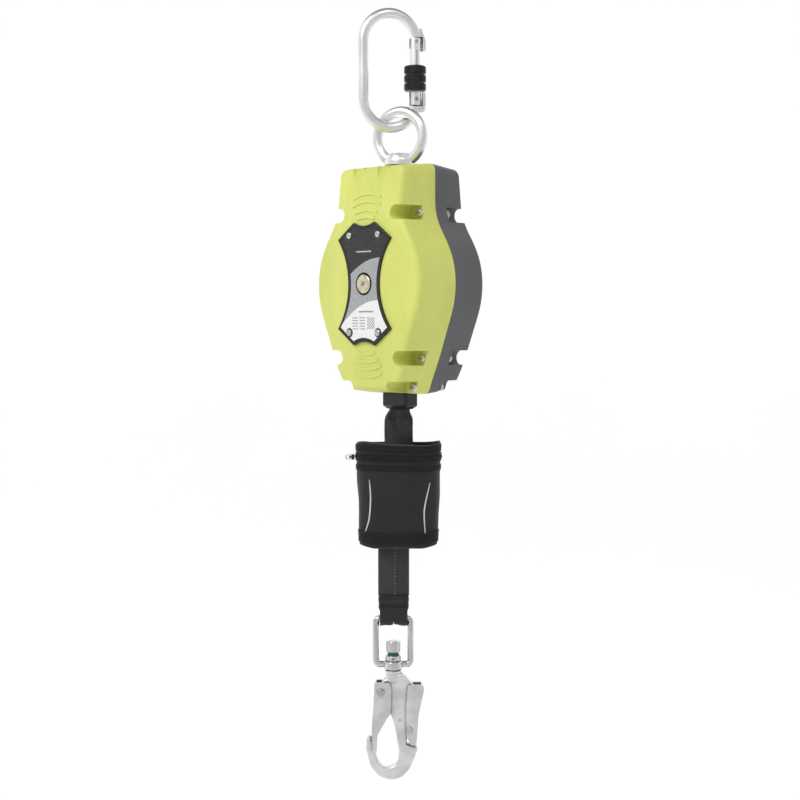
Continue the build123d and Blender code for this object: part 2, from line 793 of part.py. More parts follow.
def ratchet_posts():
    """Four stand-offs that carry the ratchet ring, on two straps from the bracket."""
    parts = []
    foot_y = -BRACKET_Y - BRACKET_T
    for sz in (-1, 1):
        z = DRUM_Z + sz * (RATCHET_R - 2.5) * sin(radians(60))
        w = (RATCHET_R - 2.5) * cos(radians(60)) + 4
        strap = block(-w, w, foot_y - 1.5, foot_y, z - 4, z + 4)
        for sx in (-1, 1):
            x = sx * (RATCHET_R - 2.5) * cos(radians(60))
            strap = strap + y_rod(x, z, 2.2, RATCHET_Y + RATCHET_T, foot_y)
            strap = strap + y_rod(x, z, 1.2, RATCHET_Y - 1, foot_y)
        parts.append(strap)
    return Compound(children=parts)


def pawl_carrier():
    """The drum's front disc that carries the pawls, outside the bracket."""
    y1 = -BRACKET_Y - BRACKET_T - GAP
    disc = y_rod(0, DRUM_Z, 26.0, y1 - 2.4, y1)
    disc = disc - y_rod(0, DRUM_Z, AXLE_R, -60, 60)
    for sx in (-1, 1):
        disc = disc + y_rod(sx * PAWL_PIVOT_R, DRUM_Z, 2.5, RATCHET_Y - 1.5, y1)
    return disc


def pawl(sx):
    y0 = RATCHET_Y
    eye = y_rod(PAWL_PIVOT_R, 0, 4.6, y0, y0 + PAWL_T)
    tip = Polyline(
        (PAWL_PIVOT_R - 3.6, 2.8),
        (PAWL_PIVOT_R + 3.6, 2.8),
        (26.0, 18.0),
        (22.0, 24.0),
        (19.0, 21.0),
        (PAWL_PIVOT_R - 3.6, 2.8),
    )
    arm = face_slab(make_face(tip), y0, y0 + PAWL_T)
    body = eye + arm
    body = body - y_rod(PAWL_PIVOT_R, 0, 2.5 + RUN_FIT, -60, 60)
    turn = 0 if sx > 0 else 180
    return Pos(0, 0, DRUM_Z) * Rot(0, turn, 0) * body


def spring_case():
    y0 = SPRING_CASE_Y0
    y1 = SPRING_CASE_Y1
    w = SPRING_CASE_WALL
    can = y_rod(0, DRUM_Z, SPRING_CASE_R, y0, y1)
    can = can - y_rod(0, DRUM_Z, SPRING_CASE_R - w, y0 - 1, y1 - w)
    can = soften(can, can.edges().filter_by(GeomType.CIRCLE).group_by(Axis.Y)[-1], 2.0)
    return can - y_rod(0, DRUM_Z, AXLE_R + RUN_FIT, -60, 60)


def case_back():
    y0 = BRACKET_Y + BRACKET_T
    disc = y_rod(0, DRUM_Z, SPRING_CASE_R, y0, SPRING_CASE_Y0)
    return disc - y_rod(0, DRUM_Z, ARBOR_R + 1.0, -60, 60)


def power_spring():
    """The flat spiral spring: nested rings joined by short steps."""
    y0 = SPRING_CASE_Y0 + 1.0
    y1 = SPRING_CASE_Y1 - SPRING_CASE_WALL - 1.0
    body = None
    radius = ARBOR_R + 2.0
    step = 3.6
    while radius < SPRING_CASE_R - SPRING_CASE_WALL - 1.5:
        ring = y_rod(0, DRUM_Z, radius + 0.9, y0, y1) - y_rod(0, DRUM_Z, radius, 0, 60)
        link = block(radius + 0.4, radius + step + 0.5, y0, y1, DRUM_Z - 0.6, DRUM_Z + 0.6)
        last = radius + step >= SPRING_CASE_R - SPRING_CASE_WALL - 1.5
        if not last:
            ring = ring + link
        body = ring if body is None else body + ring
        radius = radius + step
    return body


def spring_arbor():
    y0 = SPRING_CASE_Y0 + 0.5
    y1 = SPRING_CASE_Y1 - SPRING_CASE_WALL - 0.5
    body = y_rod(0, DRUM_Z, ARBOR_R, y0, y1)
    key = block(ARBOR_R - 2.5, ARBOR_R + 1, y0 - 1, y1 + 1, DRUM_Z - 0.8, DRUM_Z + 0.8)
    return body - key - y_rod(0, DRUM_Z, AXLE_R, -60, 60)


def axle_washer():
    y0 = SPRING_CASE_Y1 + GAP
    clip = y_rod(0, DRUM_Z, 11.0, y0, y0 + 1.4)
    return clip - y_rod(0, DRUM_Z, AXLE_R, 0, 60)


def webbing_nozzle():
    w = NOZZLE_W / 2
    d = NOZZLE_D / 2
    body = block(-w, w, -d, d, NOZZLE_LOW, LOW_Z - 0.1)
    body = chamfer(body.edges().group_by(Axis.Z)[0], 3.6)
    body = soften(body, body.edges().filter_by(Axis.Z), 2.2)
    neck = block(-w + 1, w - 1, -d + 1, d - 1, LOW_Z - 1, LOW_Z + 5)
    collar = block(-w - 2, w + 2, -d - 1.4, d + 1.4, LOW_Z + 4.3, LOW_Z + 6.2)
    body = body + neck + collar
    sw = NOZZLE_SLOT_W / 2
    sd = NOZZLE_SLOT_D / 2
    return body - block(-sw, sw, -sd, sd, NOZZLE_LOW - 2, LOW_Z + 12)


def guide_frame():
    """Two end cheeks that hold the guide rollers above the outlet."""
    parts = []
    for sx in (-1, 1):
        x0 = sx * 15.4
        x1 = sx * 17.4
        z0 = LOW_Z + 6.3
        cheek = block(min(x0, x1), max(x0, x1), -9.5, 9.5, z0, ROLLER_Z + 6.5)
        for sy in (-1, 1):
            y = sy * (WEB_T / 2 + ROLLER_R + 0.5)
            hole = Rot(0, 90, 0) * Cylinder(1.6 + RUN_FIT, 60)
            cheek = cheek - Pos(0, y, ROLLER_Z + 2) * hole
        parts.append(cheek)
    return Compound(children=parts)


def guide_roller(sy):
    y = sy * (WEB_T / 2 + ROLLER_R + 0.5)
    wheel = Rot(0, 90, 0) * Cylinder(ROLLER_R, 30.0)
    pin = Rot(0, 90, 0) * Cylinder(1.6, 34.8)
    return Pos(0, y, ROLLER_Z + 2) * (wheel + pin)


# ------------------------------------------------------------- the soft line


def webbing_upper():
    w = WEB_W
    hidden = block(-w / 2, w / 2, -WEB_T / 2, WEB_T / 2, NOZZLE_LOW - 2, HIDDEN_TOP)
    start = Plane((0, 0, NOZZLE_LOW - 2)) * Rectangle(w, WEB_T)
    mid_at = (0, 0, (NOZZLE_LOW + POUCH_TOP) / 2)
    mid = Plane(mid_at) * Rot(0, 0, LINE_YAW / 2) * Rectangle(w, WEB_T)
    end = Plane((0, 0, POUCH_TOP - 4)) * Rot(0, 0, LINE_YAW) * Rectangle(w, WEB_T)
    twist = loft([start, mid, end])
    return hidden + twist


def pouch_section(width, depth):
    return RectangleRounded(width, depth, min(width, depth) * 0.32)


def absorber_pouch():
    top = Plane((0, 0, POUCH_TOP - 0.5)) * pouch_section(POUCH_W, POUCH_D * 0.8)
    mid = Plane((0, 0, (POUCH_TOP + POUCH_LOW) / 2))
    mid = mid * pouch_section((POUCH_W + POUCH_LOW_W) / 2, POUCH_D)
    low = Plane((0, 0, POUCH_LOW)) * pouch_section(POUCH_LOW_W, POUCH_D * 0.7)
    shell = loft([top, mid, low])
    room_w = PACK_W + 1.2
    room_d = PACK_D + 1.2
    z_mid = (POUCH_TOP + POUCH_LOW) / 2 - 4
    room = Pos(0, 0, z_mid) * Box(room_w, room_d, PACK_H + 1.2)
    slot = block(-WEB_W / 2 - 2.5, WEB_W / 2 + 2.5, -2.2, 2.2, z_mid, POUCH_TOP + 1)
    slot2 = Pos(LINE_X - POUCH_X, 0, POUCH_LOW) * Box(SLEEVE2_W + 0.8, SLEEVE2_D + 0.8, 40)
    shape = shell - room - Pos(-POUCH_X, 0, 0) * slot - slot2
    for z in ZIP_Z:
        shape = shape - tape_ring(z)
    return in_line(shape, POUCH_X)


def absorber_pack():
    z_mid = (POUCH_TOP + POUCH_LOW) / 2 - 4
    folds = None
    count = 7
    pitch = PACK_D / count
    for k in range(count):
        y = (k - (count - 1) / 2) * pitch
        sheet = Pos(0, y, z_mid) * Box(PACK_W - 6, pitch - 0.25, PACK_H - 3)
        folds = sheet if folds is None else folds + sheet
    tie = Pos(0, 0, z_mid) * Box(PACK_W, PACK_D, 16)
    return in_line(folds + tie, POUCH_X)


def lower_sleeve():
    z0 = SLEEVE2_LOW
    z1 = POUCH_LOW + 12
    body = block(-SLEEVE2_W / 2, SLEEVE2_W / 2, -SLEEVE2_D / 2, SLEEVE2_D / 2, z0, z1)
    body = soften(body, body.edges().filter_by(Axis.Z), 2.6)
    inner = block(-LOOP_W / 2 - 0.2, LOOP_W / 2 + 0.2, -2.2, 2.2, z0 - 1, z1 + 1)
    return in_line(body - inner, LINE_X)


def lower_webbing():
    z0 = BAND_LOW + 1.0
    z1 = POUCH_LOW + 11
    body = block(-LOOP_W / 2, LOOP_W / 2, -2.0, 2.0, z0, z1)
    return in_line(body, LINE_X)


def sleeve_band():
    z0 = BAND_LOW
    z1 = SLEEVE2_LOW - 0.2
    body = block(-SLEEVE2_W / 2, SLEEVE2_W / 2, -4.6, 4.6, z0, z1)
    body = soften(body, body.edges().filter_by(Axis.Z), 2.6)
    inner = block(-LOOP_W / 2 - 0.2, LOOP_W / 2 + 0.2, -2.2, 2.2, z0 - 1, z1 + 1)
    return in_line(body - inner, LINE_X)


def webbing_loop():
    """The eye of webbing that the stirrup hangs in."""
    bar_r = STIRRUP_ROD / 2 + GAP + 0.2
    z_bar = STIRRUP_TOP
    w = LOOP_NARROW
    outer = Pos(0, 0, z_bar) * Rot(0, 90, 0) * Cylinder(bar_r + LOOP_T, w)
    half = bar_r + LOOP_T
    upper = block(-w / 2, w / 2, -half, half, z_bar, BAND_LOW - 0.2 + 2)
    body = outer + upper
    room = Pos(0, 0, z_bar) * Rot(0, 90, 0) * Cylinder(bar_r, LOOP_W + 2)
    body = body - room
    body = body - block(-20, 20, -60, 60, BAND_LOW - 0.2, 0)
    return in_line(body, LINE_X)


def tape_ring(z):
    w = POUCH_W + 1.6
    d = POUCH_D * 0.86 + 1.6
    ring = extrude(RectangleRounded(w, d, 10.5), ZIP_W)
    hole = extrude(RectangleRounded(w - 2 * ZIP_TAPE_T, d - 2 * ZIP_TAPE_T, 9.4), ZIP_W)
    return Pos(0, 0, z - ZIP_W / 2) * (ring - hole)


def zip_tape(z):
    return in_line(tape_ring(z), POUCH_X)


def slider_x():
    """How far the slider's middle is from the pouch's middle."""
    return POUCH_W / 2 + 0.8 + GAP + 1.3


def zip_slider():
    x = -slider_x()
    body = Pos(x, -4, ZIP_Z[0]) * Box(2.6, 6.0, 4.6)
    body = soften(body, body.edges().filter_by(Axis.X), 1.0)
    body = body - Pos(x - 1.6, -4, ZIP_Z[0]) * Box(1.4, 2.0, 6)
    bail = Pos(x - 2.2, -4, ZIP_Z[0]) * Box(2.6, 3.6, 1.0)
    ring_room = Pos(x - 2.2 - PULL_R, -4, ZIP_Z[0]) * Rot(90, 0, 0)
    ring_room = ring_room * Torus(PULL_R, PULL_WIRE / 2 + GAP)
    body = body + (bail - ring_room)
    return in_line(body, POUCH_X)


def zip_pull():
    x = -slider_x() - 2.2 - PULL_R
    ring = Pos(x, -4, ZIP_Z[0]) * Rot(90, 0, 0) * Torus(PULL_R, PULL_WIRE / 2)
    return in_line(ring, POUCH_X)


# --------------------------------------------------------------- hook swivel


def stirrup():
    half = STIRRUP_HALF_W - STIRRUP_ROD / 2
    top = STIRRUP_TOP
    low = STIRRUP_LOW + STIRRUP_ROD / 2
    r = STIRRUP_BEND
    loop = FilletPolyline(
        (-half, top), (half, top), (half, low), (-half, low), radius=r, close=True
    )
    path = Plane.XZ * loop
    start = Plane(path @ 0.1, z_dir=path % 0.1)
    rod = sweep(start * Circle(STIRRUP_ROD / 2), path=path)
    hub = z_rod(0, 0, STIRRUP_HUB_R, STIRRUP_LOW - 1.6, STIRRUP_LOW + STIRRUP_ROD)
    hub = soften(hub, hub.edges().filter_by(GeomType.CIRCLE), 1.2)
    body = rod + hub
    body = body - z_rod(0, 0, BOLT_R + RUN_FIT, STIRRUP_LOW - 20, STIRRUP_LOW + 20)
    return in_line(body, HOOK_X)


def hub_top():
    return STIRRUP_LOW + STIRRUP_ROD


def swivel_bolt():
    z1 = hub_top() + GAP + SWIVEL_WASHER_T + RING_T
    head = z_rod(0, 0, BOLT_HEAD_R, z1, z1 + BOLT_HEAD_T)
    head = soften(head, head.edges().group_by(Axis.Z)[-1], 1.4)
    shank = z_rod(0, 0, BOLT_R, HOOK_TOP - 14, z1)
    return in_line(head + shank, HOOK_X)


def indicator_ring():
    z0 = hub_top() + GAP + SWIVEL_WASHER_T
    ring = z_rod(0, 0, RING_R, z0, z0 + RING_T)
    return in_line(ring - z_rod(0, 0, BOLT_R, z0 - 1, z0 + 9), HOOK_X)


def swivel_washer():
    z0 = hub_top() + GAP
    ring = z_rod(0, 0, SWIVEL_WASHER_R, z0, z0 + SWIVEL_WASHER_T)
    ring = soften(ring, ring.edges().filter_by(GeomType.CIRCLE), 0.7)
    hole = Pos(0, -SWIVEL_WASHER_R, z0 + SWIVEL_WASHER_T / 2) * Rot(90, 0, 0)
    hole = hole * Cylinder(0.8, 4)
    ring = ring - hole
    return in_line(ring - z_rod(0, 0, BOLT_R, z0 - 1, z0 + 9), HOOK_X)


# ----------------------------------------------------------------- snap hook


def round_at(sketch, points, radius):
    """Round the sketch's corners at the given points."""
    for x, z in points:
        corner = sketch.vertices().sort_by_distance((x, z, 0))[0]
        sketch = fillet(corner, radius)
    return sketch


def hook_body():
    sketch = make_face(Polyline(*HOOK_OUTER, close=True))
    sketch = round_at(sketch, HOOK_BOWL, HOOK_BOWL_R)
    sketch = round_at(sketch, HOOK_BACK, HOOK_BACK_R)
    rest = [p for p in HOOK_OUTER if p not in HOOK_BOWL + HOOK_BACK]
    sketch = round_at(sketch, rest, HOOK_BEND)
    t = HOOK_T_MAIN / 2
    body = face_slab(sketch, -t, t)
    faces = body.faces().sort_by(Axis.Y)
    body = fillet(faces[0].edges() + faces[-1].edges(), HOOK_EDGE)
    neck = z_rod(0, 0, NECK_R, HOOK_TOP - 9.5, HOOK_TOP)
    neck = soften(neck, neck.edges().group_by(Axis.Z)[-1], 0.8)
    body = body + neck
    body = body - z_rod(0, 0, BOLT_R, HOOK_TOP - 14, HOOK_TOP + 1)
    gx, gz = HOOK_GATE_PIVOT
    lx, lz = LEVER_PIVOT
    body = body - y_rod(gx, gz, HOOK_RIVET_D / 2, -20, 20)
    body = body - y_rod(lx, lz, LEVER_RIVET_D / 2, -20, 20)
    px, pz = SIDE_PIN
    body = body - y_rod(px, pz, SIDE_PIN_D / 2, -20, 20)
    return in_line(body, HOOK_X)


def channel(points, out_w, open_side, cut):
    """A folded sheet channel: two cheeks and a web on its outer edge."""
    half = out_w / 2
    sketch = make_face(Polyline(*points, close=True))
    body = face_slab(sketch, -half, half)
    body = soften(body, body.edges().filter_by(Axis.Y), 1.2)
    inner_half = half - GATE_WALL
    room = face_slab(Pos(open_side * cut, 0) * sketch, -inner_half, inner_half)
    return body - room


def hook_gate():
    body = channel(GATE_PLATE, GATE_OUT_W, 1, GATE_WALL)
    inner = GATE_OUT_W / 2 - GATE_WALL
    body = body - block(-40, 40, -inner, inner, GATE_PLATE[6][1] - 9, NOSE_TOP + 1.2)
    x, z = HOOK_GATE_PIVOT
    body = body - y_rod(x, z, HOOK_RIVET_D / 2 + RUN_FIT, -20, 20)
    return in_line(body, HOOK_X)


def rivet(x, z, d, out_w, head):
    half = out_w / 2
    pin = y_rod(x, z, d / 2, -half, half)
    for sy in (-1, 1):
        lo = min(sy * (half + GAP), sy * (half + GAP + 1.2))
        hi = max(sy * (half + GAP), sy * (half + GAP + 1.2))
        cap = y_rod(x, z, head / 2, lo, hi)
        edge = cap.edges().group_by(Axis.Y)
        cap = soften(cap, edge[0] if sy < 0 else edge[-1], 0.6)
        pin = pin + cap + y_rod(x, z, d / 2, min(0, sy * (half + 1)), max(0, sy * (half + 1)))
    return in_line(pin, HOOK_X)


def side_pin():
    x, z = SIDE_PIN
    half = HOOK_T_MAIN / 2 + 0.5
    return in_line(y_rod(x, z, SIDE_PIN_D / 2, -half, half), HOOK_X)


def gate_rivet():
    x, z = HOOK_GATE_PIVOT
    return rivet(x, z, HOOK_RIVET_D, GATE_OUT_W, 6.6)


def lever_rivet():
    x, z = LEVER_PIVOT
    return rivet(x, z, LEVER_RIVET_D, LEVER_OUT_W, 6.0)


def lock_lever():
    body = channel(LEVER_PLATE, LEVER_OUT_W, -1, GATE_WALL)
    x, z = LEVER_PIVOT
    body = body - y_rod(x, z, LEVER_RIVET_D / 2 + RUN_FIT, -20, 20)
    return in_line(body, HOOK_X)


PARTS = {
    "carabiner_body": lambda: in_carabiner(carabiner_body()),
    "gate_pivot_pin": lambda: in_carabiner(gate_pivot_pin()),
    "carabiner_gate": lambda: in_carabiner(carabiner_gate()),
    "latch_pin": lambda: in_carabiner(latch_pin()),
    "locking_sleeve": lambda: in_carabiner(locking_sleeve()),
    "swivel_eye": swivel_eye,
    "thrust_washer": thrust_washer,
    "eye_nut": eye_nut,
    "neck_bush": neck_bush,
    "front_cover": front_cover,
    "rear_cover": rear_cover,
    "cover_screws": cover_screws,
    "cover_nuts": cover_nuts,
    "label_frame": label_frame,
    "label_plate": label_plate,
    "label_screws": label_screws,
    "load_bracket": load_bracket,
    "drum_axle": drum_axle,
    "axle_end": axle_end,
    "axle_washer": axle_washer,
    "drum_hub": drum_hub,
    "drum_bush": drum_bush,
    "drum_flange_front": lambda: drum_flange(-1),
    "drum_flange_rear": lambda: drum_flange(1),
    "webbing_coil": webbing_coil,
    "ratchet_ring": ratchet_ring,
    "ratchet_posts": ratchet_posts,
    "pawl_carrier": pawl_carrier,
    "pawl_right": lambda: pawl(1),
    "pawl_left": lambda: pawl(-1),
    "spring_case": spring_case,
    "case_back": case_back,
    "power_spring": power_spring,
    "spring_arbor": spring_arbor,
    "webbing_nozzle": webbing_nozzle,
    "guide_frame": guide_frame,
    "guide_roller_front": lambda: guide_roller(-1),
    "guide_roller_rear": lambda: guide_roller(1),
    "webbing_upper": webbing_upper,
    "absorber_pouch": absorber_pouch,
    "absorber_pack": absorber_pack,
    "zip_tape_upper": lambda: zip_tape(ZIP_Z[0]),
    "zip_tape_lower": lambda: zip_tape(ZIP_Z[1]),
    "zip_slider": zip_slider,
    "zip_pull": zip_pull,
    "lower_sleeve": lower_sleeve,
    "lower_webbing": lower_webbing,
    "sleeve_band": sleeve_band,
    "webbing_loop": webbing_loop,
    "hook_stirrup": stirrup,
    "swivel_bolt": swivel_bolt,
    "indicator_ring": indicator_ring,
    "swivel_washer": swivel_washer,
    "hook_body": hook_body,
    "hook_gate": hook_gate,
    "gate_rivet": gate_rivet,
    "lock_lever": lock_lever,
    "lever_rivet": lever_rivet,
    "side_pin": side_pin,
}

for node, make in PARTS.items():
    save(node, make())
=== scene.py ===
import math

import bmesh
import bpy
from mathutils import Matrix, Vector, noise
from mathutils.bvhtree import BVHTree


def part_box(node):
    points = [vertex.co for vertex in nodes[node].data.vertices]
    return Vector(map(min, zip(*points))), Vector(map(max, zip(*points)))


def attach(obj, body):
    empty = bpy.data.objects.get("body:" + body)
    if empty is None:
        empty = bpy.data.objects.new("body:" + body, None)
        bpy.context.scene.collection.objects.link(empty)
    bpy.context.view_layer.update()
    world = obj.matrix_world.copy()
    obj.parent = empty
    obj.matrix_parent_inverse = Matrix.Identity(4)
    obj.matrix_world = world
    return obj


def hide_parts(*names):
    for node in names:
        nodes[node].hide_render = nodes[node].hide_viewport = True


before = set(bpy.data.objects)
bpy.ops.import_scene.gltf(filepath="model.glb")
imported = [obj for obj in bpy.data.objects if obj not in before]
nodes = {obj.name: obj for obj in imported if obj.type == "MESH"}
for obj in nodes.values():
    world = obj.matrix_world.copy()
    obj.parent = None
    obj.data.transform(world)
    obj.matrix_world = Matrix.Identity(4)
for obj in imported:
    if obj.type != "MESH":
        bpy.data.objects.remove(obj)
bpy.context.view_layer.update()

MM = 0.001
AZIMUTH = math.radians(45)  # the way that the camera and the line face
AXLE = (0, 0, -0.229)

# ------------------------------------------------------------------- stage

SIGHT = 1.447  # camera to the unit's axis
EYE_HEIGHT = -0.2704
LOOK_DOWN = 2.35  # degrees
FOCAL, SENSOR = 74.25, 36
LIGHT_AIM = (0, 0, -0.33)
SKY = 0.25


def make_camera():
    lens = bpy.data.cameras.new("camera")
    lens.lens = FOCAL
    lens.sensor_width = SENSOR
    lens.clip_end = 20
    camera = bpy.data.objects.new("camera", lens)
    bpy.context.scene.collection.objects.link(camera)
    camera.location = (SIGHT * math.sin(AZIMUTH), -SIGHT * math.cos(AZIMUTH), EYE_HEIGHT)
    camera.rotation_euler = (math.radians(90 - LOOK_DOWN), 0, AZIMUTH)
    bpy.context.scene.camera = camera


def make_light(name, azimuth, height, distance, size, power):
    """A soft panel aimed at the middle of the unit."""
    lamp = bpy.data.lights.new(name, "AREA")
    lamp.shape = "RECTANGLE"
    lamp.size, lamp.size_y = size
    lamp.energy = power
    light = bpy.data.objects.new(name, lamp)
    bpy.context.scene.collection.objects.link(light)
    a = math.radians(azimuth)
    at = Vector((distance * math.sin(a), -distance * math.cos(a), height))
    light.location = at
    light.rotation_euler = (Vector(LIGHT_AIM) - at).to_track_quat("-Z", "Y").to_euler()


def make_world():
    world = bpy.data.worlds.new("studio")
    world.use_nodes = True
    bpy.context.scene.world = world
    world.node_tree.nodes["Background"].inputs["Color"].default_value = (1, 1, 1, 1)
    world.node_tree.nodes["Background"].inputs["Strength"].default_value = SKY


make_camera()
make_world()
bpy.context.scene.view_settings.view_transform = "Standard"
make_light("key", 5, 1.25, 1.75, (1.2, 1.2), 26)
make_light("side", 70, 1.5, 1.6, (0.7, 0.7), 5)
make_light("rim", 200, 0.8, 1.9, (0.8, 1.6), 3)

# ---------------------------------------------------------------- shader kit


class Val:
    """A socket that takes part in Python sums."""

    def __init__(self, paint, socket):
        self.paint = paint
        self.socket = socket

    def _do(self, operation, a, b=None):
        values = {0: a}
        if b is not None:
            values[1] = b
        node = self.paint.node("ShaderNodeMath", {"operation": operation}, values)
        return Val(self.paint, node.outputs[0])

    def __add__(self, o):
        return self._do("ADD", self, o)

    def __radd__(self, o):
        return self._do("ADD", o, self)

    def __sub__(self, o):
        return self._do("SUBTRACT", self, o)

    def __rsub__(self, o):
        return self._do("SUBTRACT", o, self)

    def __mul__(self, o):
        return self._do("MULTIPLY", self, o)

    def __gt__(self, o):
        return self._do("GREATER_THAN", self, o)

    def __lt__(self, o):
        return self._do("LESS_THAN", self, o)

    def sin(self):
        return self._do("SINE", self)

    def abs(self):
        return self._do("ABSOLUTE", self)

    def fract(self):
        return self._do("FRACT", self)

    def root(self):
        return self._do("SQRT", self)

    def step(self, low, high):
        """0 below low, 1 above high, smooth between."""
        settings = {"interpolation_type": "SMOOTHSTEP"}
        node = self.paint.node("ShaderNodeMapRange", settings, {0: self, 1: low, 2: high})
        return Val(self.paint, node.outputs[0])


class Paint:
    """One material and the nodes in it."""

    def __init__(self, name):
        self.material = bpy.data.materials.new(name)
        self.material.use_nodes = True
        self.tree = self.material.node_tree
        self.shader = self.tree.nodes["Principled BSDF"]

    def node(self, kind, settings=None, values=None):
        node = self.tree.nodes.new(kind)
        for key, value in (settings or {}).items():
            setattr(node, key, value)
        for key, value in (values or {}).items():
            self.put(node.inputs[key], value)
        return node

    def put(self, socket, value):
        if isinstance(value, Val):
            self.tree.links.new(value.socket, socket)
        elif isinstance(value, bpy.types.NodeSocket):
            self.tree.links.new(value, socket)
        elif isinstance(value, (tuple, list)) and len(value) == 3 and socket.type == "RGBA":
            socket.default_value = (*value, 1)
        else:
            socket.default_value = value

    def coords(self, turn=0.0, centre=(0, 0, 0)):
        """Object coordinates, moved to centre and turned about Z."""
        uv = self.node("ShaderNodeTexCoord").outputs["Object"]
        if not turn and centre == (0, 0, 0):
            return uv
        values = {"Vector": uv, "Location": centre, "Rotation": (0, 0, turn)}
        return self.node("ShaderNodeMapping", {"vector_type": "TEXTURE"}, values).outputs[0]

    def split(self, vector):
        node = self.node("ShaderNodeSeparateXYZ", None, {0: vector})
        return [Val(self, s) for s in node.outputs]

    def noise(self, vector, scale, detail=3.0, rough=0.55):
        values = {"Vector": vector, "Scale": scale, "Detail": detail, "Roughness": rough}
        return Val(self, self.node("ShaderNodeTexNoise", None, values).outputs[0])

    def stretch(self, vector, by):
        node = self.node("ShaderNodeMapping", None, {"Vector": vector, "Scale": by})
        return node.outputs[0]

    def mix(self, factor, a, b):
        settings = {"data_type": "RGBA", "clamp_factor": True}
        node = self.node("ShaderNodeMix", settings, {0: factor, 6: a, 7: b})
        return node.outputs[2]

    def bump(self, height, depth):
        values = {"Height": height, "Distance": depth, "Strength": 1.0}
        return self.node("ShaderNodeBump", None, values).outputs[0]

    def set(self, **sockets):
        for key, value in sockets.items():
            self.put(self.shader.inputs[key.replace("_", " ")], value)
        return self.material


# ------------------------------------------------------------------ materials


def metal(name, colour, rough, spread, grain, dents=0.00002, tint=0.08, painted_shade_reach=0.0):
    """Bare metal: soft tonal drift, fine rubbed lines, faint dents, painted shade in seams and
    crevices.
    """
    p = Paint(name)
    at = p.coords()
    drift = p.noise(at, 45)
    lines = p.noise(p.stretch(at, (grain, grain, grain * 0.06)), 1.0, 2)
    dark = tuple(c * (1 - tint * 2.4) for c in colour)
    tone = p.mix(drift.step(0.3, 0.72), dark, colour)
    if painted_shade_reach:
        # painted shade: ambient occlusion darkens the base colour in seams, crevices and between
        # parts
        shade = p.node("ShaderNodeAmbientOcclusion", {"samples": 8}, {"Distance": painted_shade_reach})
        seams = Val(p, shade.outputs["AO"]).step(0.3, 0.92)
        tone = p.mix(seams, tuple(c * 0.16 for c in colour), tone)
    roughness = rough + (drift - 0.5) * spread + (lines - 0.5) * spread
    height = lines * 0.4 + p.noise(at, 320, 2) * 0.6
    return p.set(
        Base_Color=tone, Metallic=1.0, Roughness=roughness, Normal=p.bump(height, dents)
    )


def moulded(name, colour, rough, grain=2600.0, depth=0.00004, shift=0.06):
    """Moulded plastic: fine spark-eroded grain, faint flow marks and rubbed patches."""
    p = Paint(name)
    at = p.coords()
    flow = p.noise(p.stretch(at, (1, 1, 0.4)), 22, 4)
    spots = p.noise(at, 160, 3)
    light = tuple(min(1, c * (1 + shift) + shift * 0.04) for c in colour)
    dark = tuple(c * (1 - shift) for c in colour)
    tone = p.mix(flow.step(0.3, 0.7), dark, light)
    roughness = rough + (spots - 0.5) * 0.14 + (flow - 0.5) * 0.08
    height = p.noise(at, grain, 2)
    return p.set(
        Base_Color=tone, Roughness=roughness, Normal=p.bump(height, depth), Specular_IOR_Level=0.42
    )


def woven(name, colour, pitch, turn, light=1.9, rough=0.72, depth=0.00025, sheen=0.2):
    """Woven cloth: warp and weft over and under, with loose fibres and dust."""
    p = Paint(name)
    at = p.coords(turn)
    x, y, z = p.split(at)
    across = (x + y) * (math.tau / pitch)
    along = z * (math.tau / pitch)
    weave = (across.sin() * along.sin()) * 0.5 + 0.5
    fibre = p.noise(at, 2400, 2)
    dust = p.noise(at, 60, 4)
    bright = tuple(c * light + 0.004 for c in colour)
    tone = p.mix(weave * 0.6 + dust.step(0.35, 0.75) * 0.4, colour, bright)
    height = weave * 0.8 + fibre * 0.2
    return p.set(
        Base_Color=tone,
        Roughness=rough + (dust - 0.5) * 0.2,
        Normal=p.bump(height, depth),
        Sheen_Weight=sheen,
        Sheen_Roughness=0.5,
        Specular_IOR_Level=0.3,
    )


def webbing_stuff(name, colour, turn, width, centre_x, rough=0.6):
    """Narrow webbing: chevron ribs across, a dense selvedge at each edge."""
    p = Paint(name)
    at = p.coords(turn)
    x, _, z = p.split(at)
    lean = (x - centre_x).abs()
    ribs = ((z + lean * 0.55) * (math.tau / 0.0017)).sin() * 0.5 + 0.5
    cords = (x * (math.tau / 0.0021)).sin() * 0.5 + 0.5
    edge = lean.step(width * 0.42, width * 0.47)
    fibre = p.noise(at, 2100, 2)
    height = ribs * 0.6 * (1 - edge) + cords * 0.3 + fibre * 0.15
    bright = tuple(c * 2.1 + 0.004 for c in colour)
    tone = p.mix(ribs * 0.5 + p.noise(at, 50, 4).step(0.3, 0.8) * 0.3, colour, bright)
    return p.set(
        Base_Color=tone,
        Roughness=rough + (fibre - 0.5) * 0.2,
        Normal=p.bump(height, 0.0004),
        Sheen_Weight=0.1,
        Specular_IOR_Level=0.5,
    )


def turned_metal(name, colour, centre):
    """Lathe-turned end: fine rings about the axle."""
    p = Paint(name)
    x, _, z = p.split(p.coords(0, centre))
    radius = (x * x + z * z).root()
    rings = (radius * (math.tau / 0.0009)).sin() * 0.5 + 0.5
    blotch = p.noise(p.coords(), 240, 3)
    tone = p.mix(blotch.step(0.3, 0.7), tuple(c * 0.72 for c in colour), colour)
    return p.set(
        Base_Color=tone,
        Metallic=1.0,
        Roughness=0.3 + (blotch - 0.5) * 0.2,
        Normal=p.bump(rings, 0.00005),
    )


